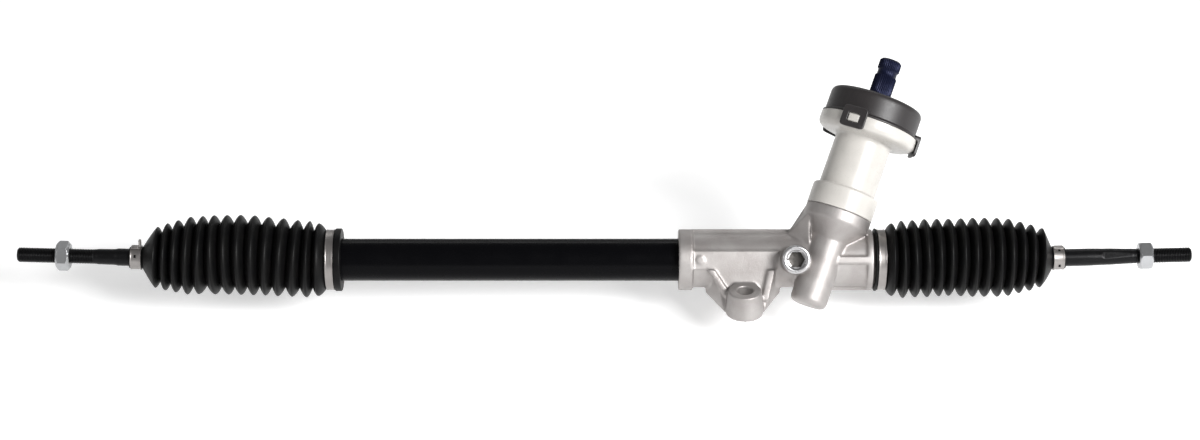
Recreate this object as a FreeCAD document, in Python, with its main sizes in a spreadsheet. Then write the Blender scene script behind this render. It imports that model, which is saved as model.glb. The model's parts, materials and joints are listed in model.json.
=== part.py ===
import FreeCAD, Part

import math
import os
import re

import Sketcher
from FreeCAD import Placement, Rotation, Vector

# A rack-and-pinion steering gear: a toothed bar slides through a steel tube and a cast gear
# housing, a tilted helical pinion drives it, and a tie rod swings on a ball joint at each end.
# +X runs along the bar, +Z along the bolt hole of the housing's lug, and the origin is the
# centre of the lug's lower seating face. Lengths are millimetres, angles degrees.

# Driving dimensions
SIZES = {
    # Where the bar's axis lies, seen from the lug
    "line_y": 47.0,
    "line_z": 29.0,
    # Rack bar and its teeth
    "bar_radius": 13.0,
    "bar_left_end": -467.0,
    "bar_right_end": 205.3,
    "stroke": 70.0,
    "normal_module": 2.1,
    "pinion_teeth": 7.0,
    "rack_teeth": 26.0,
    "pressure_angle": 20.0,
    "helix_angle": 19.5,
    "profile_shift": 0.5,
    "reference_height": 7.4,
    "backlash": 0.2,
    # Pinion
    "pinion_x": 74.5,
    "gear_roll": 36.0,
    "gear_half_width": 17.0,
    "pinion_tip_radius": 10.5,
    "pinion_collar_radius": 14.0,
    "pinion_foot": -40.0,
    "needle_inset": 2.0,
    "thrust_cone": 3.0,
    "needle_journal_radius": 7.0,
    "needle_radius": 1.5,
    "needle_length": 12.0,
    "needle_shell": 1.2,
    "bearing_bottom": 26.0,
    "bearing_width": 9.0,
    "bearing_bore_radius": 12.5,
    "bearing_outer_radius": 21.0,
    "bearing_ball_radius": 2.9,
    "seal_journal_radius": 11.5,
    "input_radius": 10.5,
    "input_top": 199.0,
    "input_end_length": 36.0,
    "input_relief": 0.4,
    "input_chamfer": 2.0,
    "lock_ring_thickness": 8.0,
    "lock_ring_radius": 23.0,
    "lock_ring_bore": 17.0,
    "seal_thickness": 6.0,
    "seal_lip": 2.0,
    # Steel tube and its bush
    "tube_radius": 20.0,
    "tube_wall": 2.5,
    "tube_left_end": -393.5,
    "tube_right_end": -22.0,
    "bush_inset": 6.0,
    "bush_length": 26.0,
    "bush_ring_section": 1.6,
    # Gear housing
    "collar_left": -61.0,
    "collar_length": 13.0,
    "collar_radius": 28.8,
    "barrel_radius": 26.0,
    "barrel_bore_radius": 14.5,
    "rib_width": 7.0,
    "spigot_radius": 24.0,
    "spigot_end": 134.3,
    "rim_length": 6.0,
    "rim_gap": 0.7,
    "right_body_start": 90.0,
    "panel_depth": 3.0,
    "panel_rib_width": 7.0,
    "tower_radius": 31.5,
    "tower_top": 46.0,
    "tower_skirt": 35.0,
    "tower_neck": 18.0,
    "pinion_barrel_radius": 17.5,
    "pinion_barrel_end": -47.0,
    "pinion_barrel_rounding": 5.0,
    "gusset_thickness": 8.0,
    "gusset_reach": 39.5,
    "gusset_setback": 7.0,
    "gusset_foot": 10.0,
    "gusset_top": 42.0,
    # Mounting lug
    "lug_height": 24.0,
    "lug_top_radius": 15.5,
    "lug_bottom_radius": 18.0,
    "lug_bore_radius": 7.5,
    "web_half_length": 35.0,
    "web_tip_half_length": 19.0,
    "web_distance": 26.4,
    "web_slope": 30.0,
    "web_top": 9.0,
    "face_pad_end": 30.0,
    "flank_rib_height": 2.2,
    "flank_rib_start": -9.0,
    "flank_rib_end": -38.0,
    "flank_rib_width": 7.0,
    "flank_rib_root": 3.0,
    "left_rib_x": -35.0,
    "right_rib_x": 29.0,
    "nub_radius": 3.8,
    "nub_x": -40.9,
    "nub_height": 0.9,
    # Screw plug beside the pinion
    "port_x": 47.3,
    "port_roll": 31.0,
    "port_face": 48.0,
    "port_head_height": 9.0,
    "port_head_radius": 13.4,
    "port_shank_radius": 9.0,
    "port_shank_end": 19.0,
    "port_hex_flats": 14.0,
    "port_hex_depth": 8.0,
    # Rack guide, behind the bar
    "guide_radius": 17.0,
    "guide_back": 34.0,
    "guide_front": 3.0,
    "liner_thickness": 0.8,
    "guide_boss_radius": 23.5,
    "guide_boss_end": 45.0,
    "guide_plug_length": 12.0,
    "guide_plug_hex_flats": 17.0,
    "guide_slack": 0.15,
    "locknut_flats": 42.0,
    "locknut_thickness": 6.0,
    "spring_radius": 7.5,
    "spring_wire_radius": 1.7,
    "spring_pocket_depth": 14.0,
    "spring_turns": 3.5,
    # Steering shaft's dust cover
    "cover_collar_height": 21.0,
    "cover_collar_radius": 31.7,
    "cover_tube_radius": 26.7,
    "cover_wall": 2.5,
    "cover_flange_height": 16.0,
    "cover_flange_rounding": 8.0,
    "cover_flange_radius": 46.6,
    "cover_seam": 133.0,
    "cap_radius": 44.4,
    "cap_top": 159.0,
    "cap_edge_rounding": 5.0,
    "cap_hole_radius": 11.5,
    "clip_width": 24.0,
    "clip_thickness": 2.4,
    "clip_drop": 14.0,
    "clip_window_width": 12.0,
    "clip_window_height": 9.0,
    "clip_root": 8.0,
    "clip_lip": 5.0,
    "clip_first_angle": -112.0,
    # Ball joints and tie rods
    "ball_radius": 11.0,
    "ball_depth": 18.0,
    "rod_lift": 1.6,
    "seat_radius": 13.0,
    "socket_radius": 17.0,
    "socket_mouth": 7.0,
    "socket_stud_radius": 7.0,
    "socket_stud_length": 20.0,
    "mouth_inner_radius": 8.0,
    "mouth_outer_radius": 12.0,
    "mouth_depth": 10.0,
    "neck_radius": 6.3,
    "neck_end": 34.0,
    "neck_draft": 0.3,
    "rod_radius": 8.3,
    "rod_swell_end": 46.0,
    "thread_radius": 7.0,
    "thread_root": 6.3,
    "thread_start": 132.0,
    "thread_run_in": 4.0,
    "thread_chamfer": 1.5,
    "rod_length": 199.5,
    "nut_flats": 24.0,
    "nut_thickness": 14.0,
    "nut_from_tip": 50.2,
    # Boots and their clamps
    "crest_count": 14.0,
    "crest_radius": 38.4,
    "crest_depth": 8.4,
    "boot_wall": 1.6,
    "crest_inset": 6.7,
    "left_small_cone": 13.0,
    "right_small_cone": 9.5,
    "small_end_crest": 29.0,
    "large_end_crest": 34.5,
    "cuff_radius": 27.3,
    "cuff_length": 8.5,
    "cuff_margin": 0.3,
    "lip_radius": 29.7,
    "lip_length": 10.3,
    "right_lip_length": 3.3,
    "small_cuff_wall": 1.6,
    "small_cuff_length": 12.5,
    "left_boot_reach": 81.5,
    "right_boot_reach": 68.2,
    "band_thickness": 1.0,
    "band_width": 7.4,
    "band_margin": 0.55,
    "small_band_width": 10.4,
    "small_band_inset": 0.8,
    "band_ear_height": 5.0,
    "band_ear_length": 12.0,
    # Clearances and small edges
    "fit_gap": 0.05,
    "soft_gap": 0.3,
    "face_gap": 0.1,
    "free_gap": 1.0,
    "edge_chamfer": 1.0,
}

doc = FreeCAD.newDocument("steering_rack")
sheet = doc.addObject("Spreadsheet::Sheet", "sizes")
for row, (alias, number) in enumerate(SIZES.items(), start=1):
    sheet.set(f"A{row}", alias)
    sheet.set(f"B{row}", str(number))
    sheet.setAlias(f"B{row}", alias)
doc.recompute()

X_AXIS = Vector(1, 0, 0)
Y_AXIS = Vector(0, 1, 0)
Z_AXIS = Vector(0, 0, 1)
SUBPARTS = []


def size(alias):
    """One driving dimension, read from the sheet."""
    return float(sheet.get(alias))


def bound(text):
    """An expression on the sheet, from one written with bare aliases."""
    return re.sub(r"[a-z_]+", lambda m: f"sizes.{m.group()}" if m.group() in SIZES else m.group(), str(text))


def bind(thing, **sizes):
    """Tie an object's properties to expressions on the sheet."""
    for name, text in sizes.items():
        thing.setExpression(name, bound(text))


def subpart(thing, label):
    """Name an object as one kept piece."""
    thing.Label = label
    SUBPARTS.append(thing)
    return thing


# Places: every frame hangs from the bar's axis
def turn(axis, angle):
    return Placement(Vector(), Rotation(axis, angle))


def move(x=0, y=0, z=0):
    return Placement(Vector(x, y, z), Rotation())


RACK_LINE = move(0, size("line_y"), size("line_z"))
ROLLED = RACK_LINE * turn(X_AXIS, -size("gear_roll"))
transverse_angle = math.radians(size("helix_angle"))
pitch_radius = size("normal_module") * size("pinion_teeth") / 2 / math.cos(transverse_angle)
centre_distance = pitch_radius + size("profile_shift") * size("normal_module") + size("reference_height")
TOWER = ROLLED * move(size("pinion_x"), -centre_distance) * turn(Y_AXIS, size("helix_angle"))
PORT = RACK_LINE * move(size("port_x")) * turn(X_AXIS, 90 - size("port_roll"))
GUIDE = ROLLED * move(size("pinion_x")) * turn(X_AXIS, -90)
LEFT_SOCKET = RACK_LINE * move(size("bar_left_end") - size("ball_depth")) * turn(Z_AXIS, 180)
RIGHT_SOCKET = RACK_LINE * move(size("bar_right_end") + size("ball_depth"))
LEFT_BALL = LEFT_SOCKET * turn(Y_AXIS, -size("rod_lift"))
RIGHT_BALL = RIGHT_SOCKET * turn(Y_AXIS, -size("rod_lift"))


# Sketch helpers
def plane(body, role):
    return next(item for item in body.Origin.OriginFeatures if item.Role == role)


def outline_sketch(body, role, points):
    """A closed outline whose corners are pairs of expressions, held to the sketch's origin."""
    sketch = body.newObject("Sketcher::SketchObject", "outline")
    sketch.AttachmentSupport = [(plane(body, role), "")]
    sketch.MapMode = "FlatFace"
    count = len(points)
    rough = [Vector(5 + 40 * math.cos(2 * math.pi * i / count), 60 + 40 * math.sin(2 * math.pi * i / count))
             for i in range(count)]
    for i in range(count):
        sketch.addGeometry(Part.LineSegment(rough[i], rough[(i + 1) % count]))
    for i in range(count):
        sketch.addConstraint(Sketcher.Constraint("Coincident", i, 2, (i + 1) % count, 1))
    for i, (across, up) in enumerate(points):
        for kind, text in (("DistanceX", across), ("DistanceY", up)):
            index = sketch.addConstraint(Sketcher.Constraint(kind, -1, 1, i, 1, 1.0))
            sketch.setExpression(f"Constraints[{index}]", bound(text))
    return sketch


def turned_x(label, points, place):
    """A piece turned about its X axis from (along, radius) corners."""
    body = doc.addObject("PartDesign::Body", label)
    sketch = outline_sketch(body, "XY_Plane", points)
    revolution = body.newObject("PartDesign::Revolution", "turning")
    revolution.Profile = sketch
    revolution.ReferenceAxis = (sketch, ["H_Axis"])
    revolution.Angle = 360
    body.Placement = place
    return subpart(body, label)


def turned_z(label, points, place):
    """A piece turned about its Z axis from (radius, along) corners."""
    body = doc.addObject("PartDesign::Body", label)
    sketch = outline_sketch(body, "XZ_Plane", points)
    revolution = body.newObject("PartDesign::Revolution", "turning")
    revolution.Profile = sketch
    revolution.ReferenceAxis = (sketch, ["V_Axis"])
    revolution.Angle = 360
    body.Placement = place
    return subpart(body, label)


def hexagon_points(flats):
    """Corners of a hexagon, as expressions, with flats facing up and down."""
    return [(f"({flats}) / sqrt(3) * {math.cos(math.radians(60 * k)):.6f}",
             f"({flats}) / sqrt(3) * {math.sin(math.radians(60 * k)):.6f}") for k in range(6)]


def hex_pocket(body, flats, depth, start):
    """A hexagon socket sunk from the height start along -Z."""
    sketch = outline_sketch(body, "XY_Plane", hexagon_points(flats))
    sketch.AttachmentOffset = Placement()
    sketch.setExpression("AttachmentOffset.Base.z", bound(start))
    pocket = body.newObject("PartDesign::Pocket", "hex_socket")
    pocket.Profile = sketch
    bind(pocket, Length=depth)
    body.Tip = pocket
    return pocket


# Boolean helpers
def cylinder(radius, height, place):
    thing = doc.addObject("Part::Cylinder", "cylinder")
    bind(thing, Radius=radius, Height=height)
    thing.Placement = place
    return thing


def cone(radius_1, radius_2, height, place):
    thing = doc.addObject("Part::Cone", "cone")
    bind(thing, Radius1=radius_1, Radius2=radius_2, Height=height)
    thing.Placement = place
    return thing


def box(length, width, height, place):
    """A box centred on X and Y, standing on Z = 0 of its place."""
    thing = doc.addObject("Part::Box", "box")
    bind(thing, Length=length, Width=width, Height=height)
    doc.recompute()
    thing.Placement = place * move(-thing.Length.Value / 2, -thing.Width.Value / 2)
    return thing


def sphere(radius, place):
    """A ball whose poles lie on the X axis of its place."""
    thing = doc.addObject("Part::Sphere", "ball")
    bind(thing, Radius=radius)
    thing.Placement = place * turn(Y_AXIS, 90)
    return thing


def fuse(things, name="fused"):
    result = doc.addObject("Part::MultiFuse", name)
    result.Shapes = things
    result.Refine = True
    return result


def cut(base, tools, name="cut"):
    result = doc.addObject("Part::Cut", name)
    result.Base = base
    result.Tool = tools[0] if len(tools) == 1 else fuse(tools, name + "_tools")
    result.Refine = True
    return result


# Rack bar
def rack_bar():
    body = doc.addObject("PartDesign::Body", "rack_bar")
    circle = body.newObject("Sketcher::SketchObject", "bar_circle")
    circle.AttachmentSupport = [(plane(body, "YZ_Plane"), "")]
    circle.MapMode = "FlatFace"
    circle.addGeometry(Part.Circle(Vector(), Z_AXIS, 10))
    circle.addConstraint(Sketcher.Constraint("Coincident", 0, 3, -1, 1))
    index = circle.addConstraint(Sketcher.Constraint("Radius", 0, 10.0))
    circle.setExpression(f"Constraints[{index}]", bound("bar_radius"))
    circle.AttachmentOffset = Placement()
    circle.setExpression("AttachmentOffset.Base.z", bound("bar_left_end"))
    bar = body.newObject("PartDesign::Pad", "bar")
    bar.Profile = circle
    bind(bar, Length="bar_right_end - bar_left_end")

    # The toothed length is first milled flat at the tooth tips, then cut gap by gap
    pitch = "pi * normal_module"
    first = f"(pinion_x - {pitch} * rack_teeth / 2)"
    last = f"(pinion_x + {pitch} * rack_teeth / 2)"
    tip = "(-reference_height - normal_module)"
    outside = "(-2 * bar_radius)"
    flat = outline_sketch(body, "XY_Plane", [(first, outside), (last, outside), (last, tip), (first, tip)])
    milled = body.newObject("PartDesign::Pocket", "tooth_flat")
    milled.Profile = flat
    milled.Type = "ThroughAll"
    milled.Midplane = True

    root = "(-reference_height + 1.25 * normal_module)"
    half_gap = "(pi * normal_module / 4 + backlash / 4)"
    slope = "tan(pressure_angle)"
    first_gap = f"({first} + {pitch})"
    wide = f"({half_gap} + 2 * normal_module * {slope})"
    narrow = f"({half_gap} - 1.25 * normal_module * {slope})"
    above = "(-reference_height - 2 * normal_module)"
    gap = outline_sketch(body, "XY_Plane", [
        (f"{first_gap} - {wide}", above), (f"{first_gap} + {wide}", above),
        (f"{first_gap} + {narrow}", root), (f"{first_gap} - {narrow}", root)])
    one_gap = body.newObject("PartDesign::Pocket", "tooth_gap")
    one_gap.Profile = gap
    one_gap.Type = "ThroughAll"
    one_gap.Midplane = True
    doc.recompute()
    pattern = body.newObject("PartDesign::LinearPattern", "tooth_gaps")
    pattern.Originals = [one_gap]
    pattern.Direction = (gap, ["H_Axis"])
    bind(pattern, Length=f"{pitch} * (rack_teeth - 2)", Occurrences="rack_teeth - 1")
    body.Tip = pattern
    body.Placement = ROLLED
    return subpart(body, "rack_bar")


# Helical pinion and the steering shaft in one piece
def involute_angle(radius, base_radius):
    roll = math.sqrt(max(radius * radius / base_radius / base_radius - 1, 0))
    return roll - math.atan(roll)


def pinion_section(height):
    """The pinion's transverse section at one height, turned along its helix."""
    module = size("normal_module")
    helix = math.radians(size("helix_angle"))
    transverse_pressure = math.atan(math.tan(math.radians(size("pressure_angle"))) / math.cos(helix))
    base_radius = pitch_radius * math.cos(transverse_pressure)
    shift = size("profile_shift")
    root_radius = pitch_radius + (shift - 1.25) * module
    tip_radius = size("pinion_tip_radius")
    thickness = (math.pi / 2 + 2 * shift * math.tan(math.radians(size("pressure_angle")))) * module
    thickness = (thickness - size("backlash") / 2) / math.cos(helix)
    half_angle = thickness / 2 / pitch_radius + involute_angle(pitch_radius, base_radius)
    teeth = int(size("pinion_teeth"))
    twist = height * math.tan(helix) / pitch_radius

    def point(radius, angle):
        return Vector(-radius * math.sin(angle + twist), radius * math.cos(angle + twist), height)

    flank_radii = [base_radius + (tip_radius - base_radius) * step / 4 for step in range(1, 5)]
    edges = []
    for tooth in range(teeth):
        middle = 2 * math.pi * tooth / teeth
        flanks = []
        for side in (-1, 1):
            flank = [point(root_radius, middle + side * half_angle)]
            for radius in flank_radii:
                turned = half_angle - involute_angle(radius, base_radius)
                flank.append(point(radius, middle + side * turned))
            flanks.append(flank)
        gap_end = middle + 2 * math.pi / teeth - half_angle
        rising = Part.BSplineCurve()
        rising.interpolate(flanks[0])
        falling = Part.BSplineCurve()
        falling.interpolate(flanks[1][::-1])
        tip = Part.Arc(flanks[0][-1], point(tip_radius, middle), flanks[1][-1])
        root = Part.Arc(flanks[1][0], point(root_radius, (middle + half_angle + gap_end) / 2),
                        point(root_radius, gap_end))
        edges += [rising.toShape(), tip.toShape(), falling.toShape(), root.toShape()]
    return Part.Wire(edges)


def pinion_shaft():
    half = size("gear_half_width")
    steps = 8
    sections = [pinion_section(-half + 2 * half * k / steps) for k in range(steps + 1)]
    teeth = Part.makeLoft(sections, True, False)
    foot = size("pinion_foot")
    journal = size("needle_journal_radius")
    bearing_bottom = size("bearing_bottom")
    collar = size("pinion_collar_radius")
    bore = size("bearing_bore_radius")
    seal_start = bearing_bottom + size("bearing_width") + size("free_gap")
    input_start = size("tower_top")
    top = size("input_top")
    end_length = size("input_end_length")
    relief = size("input_relief")
    chamfer = size("input_chamfer")
    edge = size("edge_chamfer")
    core = pitch_radius + (size("profile_shift") - 1.5) * size("normal_module")
    profile = [
        (0, foot), (journal - edge, foot), (journal, foot + edge), (journal, -half), (core, -half),
        (core, half), (journal, half), (collar, half + size("thrust_cone")), (collar, bearing_bottom),
        (bore, bearing_bottom), (bore, seal_start),
        (size("seal_journal_radius"), seal_start), (size("seal_journal_radius"), input_start),
        (size("input_radius") - relief, input_start), (size("input_radius") - relief, top - end_length),
        (size("input_radius"), top - end_length), (size("input_radius"), top - chamfer),
        (size("input_radius") - chamfer, top), (0, top)]
    corners = [Vector(r, 0, z) for r, z in profile]
    shaft = Part.Face(Part.makePolygon(corners + corners[:1])).revolve(Vector(), Z_AXIS, 360)
    piece = doc.addObject("Part::Feature", "pinion_shaft")
    piece.Shape = shaft.fuse(teeth)
    piece.Placement = TOWER
    return subpart(piece, "pinion_shaft")


# Bearings, lock ring and seal of the pinion
def needle_bearing():
    shell_outer = "needle_journal_radius + fit_gap + 2 * needle_radius + needle_shell"
    shell_inner = "needle_journal_radius + fit_gap + 2 * needle_radius"
    low = "(pinion_foot + needle_inset)"
    high = f"({low} + needle_length)"
    turned_z("needle_shell", [
        (shell_inner, low), (shell_outer, low), (shell_outer, high), (shell_inner, high)], TOWER)
    radius = size("needle_radius")
    ring = size("needle_journal_radius") + size("fit_gap") + radius
    count = int(2 * math.pi * ring / (2.1 * radius))
    height = size("needle_length") - size("free_gap")
    start = size("pinion_foot") + size("needle_inset") + size("free_gap") / 2
    needles = [Part.makeCylinder(radius - size("fit_gap") / 2, height, Vector(
        ring * math.cos(2 * math.pi * k / count), ring * math.sin(2 * math.pi * k / count),
        start)) for k in range(count)]
    rollers = doc.addObject("Part::Feature", "needles")
    rollers.Shape = Part.makeCompound(needles)
    rollers.Placement = TOWER
    subpart(rollers, "needles")


def ball_bearing():
    low = "bearing_bottom"
    high = "(bearing_bottom + bearing_width)"
    centre = "(bearing_bottom + bearing_width / 2)"
    race_ring = "((bearing_bore_radius + bearing_outer_radius) / 2)"
    lip = "(bearing_ball_radius * 0.45)"
    groove = "(bearing_ball_radius + fit_gap)"
    for label, back, side in (("bearing_inner_race", "bearing_bore_radius", -1),
                              ("bearing_outer_race", "bearing_outer_radius", 1)):
        edge = f"({race_ring} + {side} * {lip})"
        race = turned_z(label, [(back, low), (edge, low), (edge, high), (back, high)], TOWER)
        groove_sketch = race.newObject("Sketcher::SketchObject", "ball_track")
        groove_sketch.AttachmentSupport = [(plane(race, "XZ_Plane"), "")]
        groove_sketch.MapMode = "FlatFace"
        groove_sketch.addGeometry(Part.Circle(Vector(17, 27, 0), Z_AXIS, 3))
        for kind, text in (("DistanceX", race_ring), ("DistanceY", centre)):
            index = groove_sketch.addConstraint(Sketcher.Constraint(kind, -1, 1, 0, 3, 1.0))
            groove_sketch.setExpression(f"Constraints[{index}]", bound(text))
        index = groove_sketch.addConstraint(Sketcher.Constraint("Radius", 0, 3.0))
        groove_sketch.setExpression(f"Constraints[{index}]", bound(groove))
        track = race.newObject("PartDesign::Groove", "ball_groove")
        track.Profile = groove_sketch
        track.ReferenceAxis = (groove_sketch, ["V_Axis"])
        track.Angle = 360
        race.Tip = track
    ring = (size("bearing_bore_radius") + size("bearing_outer_radius")) / 2
    radius = size("bearing_ball_radius")
    count = int(2 * math.pi * ring / (2.6 * radius))
    middle = size("bearing_bottom") + size("bearing_width") / 2
    balls = [Part.makeSphere(radius, Vector(ring * math.cos(2 * math.pi * k / count),
                                            ring * math.sin(2 * math.pi * k / count), middle))
             for k in range(count)]
    piece = doc.addObject("Part::Feature", "bearing_balls")
    piece.Shape = Part.makeCompound(balls)
    piece.Placement = TOWER
    subpart(piece, "bearing_balls")


def pinion_seals():
    low = "(bearing_bottom + bearing_width)"
    high = f"({low} + lock_ring_thickness)"
    shelf = f"({high} - seal_thickness)"
    turned_z("pinion_lock_ring", [
        ("lock_ring_bore", low), ("lock_ring_radius", low), ("lock_ring_radius", high),
        ("lock_ring_bore", high)], TOWER)
    lip = "(seal_journal_radius + fit_gap)"
    outer = "(lock_ring_bore - fit_gap)"
    turned_z("pinion_oil_seal", [
        (f"{lip} + seal_lip", shelf), (outer, shelf), (outer, high), (f"{lip} + seal_lip", high),
        (lip, f"{high} - seal_lip"), (lip, f"{high} - 1.5 * seal_lip")], TOWER)


# Steel tube with the plastic bush that guides the bar's far end
def rack_tube():
    turned_x("rack_tube", [
        ("tube_left_end", "tube_radius - tube_wall"), ("tube_right_end", "tube_radius - tube_wall"),
        ("tube_right_end", "tube_radius"), ("tube_left_end + edge_chamfer", "tube_radius"),
        ("tube_left_end", "tube_radius - edge_chamfer")], RACK_LINE)
    left = "(tube_left_end + bush_inset)"
    right = f"({left} + bush_length)"
    back = "(tube_radius - tube_wall - fit_gap)"
    floor = f"({back} - bush_ring_section)"
    grooves = []
    for share in (0.25, 0.75):
        middle = f"({left} + bush_length * {share})"
        grooves.append((f"({middle} - bush_ring_section)", f"({middle} + bush_ring_section)"))
    outline = [(left, "bar_radius + fit_gap"), (right, "bar_radius + fit_gap"), (right, back)]
    for start, end in reversed(grooves):
        outline += [(end, back), (end, floor), (start, floor), (start, back)]
    outline.append((left, back))
    turned_x("rack_bush", outline, RACK_LINE)
    rings = []
    for share in (0.25, 0.75):
        middle = size("tube_left_end") + size("bush_inset") + size("bush_length") * share
        radius = size("tube_radius") - size("tube_wall") - size("fit_gap") - size("bush_ring_section") / 2
        section = size("bush_ring_section") / 2 - size("fit_gap") / 2
        rings.append(Part.makeTorus(radius, section, Vector(middle, 0, 0), X_AXIS))
    piece = doc.addObject("Part::Feature", "bush_rings")
    piece.Shape = Part.makeCompound(rings)
    piece.Placement = RACK_LINE
    subpart(piece, "bush_rings")


# Cast gear housing
def along_x(start):
    """A place whose Z axis runs along the bar, starting at one X."""
    return RACK_LINE * move(start) * turn(Y_AXIS, 90)


def pinion_barrel():
    """The closed casting round the pinion, rounded at its lower end."""
    body = doc.addObject("PartDesign::Body", "pinion_barrel")
    end = "pinion_barrel_end"
    points = [
        ("0", end), ("pinion_barrel_radius - pinion_barrel_rounding", end),
        ("pinion_barrel_radius - pinion_barrel_rounding * 0.3", f"{end} + pinion_barrel_rounding * 0.3"),
        ("pinion_barrel_radius", f"{end} + pinion_barrel_rounding"),
        ("pinion_barrel_radius", "tower_neck"), ("tower_radius", "tower_skirt"),
        ("tower_radius", "tower_top"), ("0", "tower_top")]
    sketch = outline_sketch(body, "XZ_Plane", points)
    revolution = body.newObject("PartDesign::Revolution", "turning")
    revolution.Profile = sketch
    revolution.ReferenceAxis = (sketch, ["V_Axis"])
    revolution.Angle = 360
    body.Placement = TOWER
    return body


def lug_web():
    """The web between barrel and lug: a trapezoid in plan, planed off towards the front."""
    body = doc.addObject("PartDesign::Body", "lug_web")
    outline = outline_sketch(body, "XY_Plane", [
        ("-web_half_length", "line_y"), ("-web_half_length", "line_y - barrel_radius * 0.5"),
        ("-web_tip_half_length", "0"), ("web_tip_half_length", "0"),
        ("web_half_length", "line_y - barrel_radius * 0.5"), ("web_half_length", "line_y")])
    pad = body.newObject("PartDesign::Pad", "web")
    pad.Profile = outline
    bind(pad, Length="line_z + barrel_radius")
    return body


def gusset():
    """The buttress between tower and barrel, on the tower's left."""
    body = doc.addObject("PartDesign::Body", "gusset")
    outline = outline_sketch(body, "XZ_Plane", [
        ("-tower_radius / 2", "-gusset_foot"), ("-tower_radius / 2", "gusset_top"),
        ("-tower_radius", "gusset_top"),
        ("-gusset_reach", "gusset_foot"), ("-gusset_reach", "-gusset_foot / 2")])
    pad = body.newObject("PartDesign::Pad", "buttress")
    pad.Profile = outline
    pad.Midplane = True
    bind(pad, Length="gusset_thickness")
    body.Placement = TOWER * move(0, size("gusset_setback"))
    return body


def flank_rib(outer, inner, front):
    """A rib on the web's face, along one flank, from outer X at its top to inner X at the lug."""
    body = doc.addObject("PartDesign::Body", "flank_rib")
    side = "-1" if size(outer) < 0 else "1"
    outline = outline_sketch(body, "XZ_Plane", [
        (outer, "flank_rib_start"), (inner, "flank_rib_end"),
        (f"{inner} - {side} * flank_rib_width", "flank_rib_end"),
        (f"{outer} - {side} * flank_rib_width", "flank_rib_start")])
    outline.AttachmentOffset = Placement()
    outline.setExpression("AttachmentOffset.Base.z", bound("web_distance - flank_rib_root"))
    pad = body.newObject("PartDesign::Pad", "rib")
    pad.Profile = outline
    bind(pad, Length="flank_rib_height + flank_rib_root")
    body.Placement = front
    return body


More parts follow.
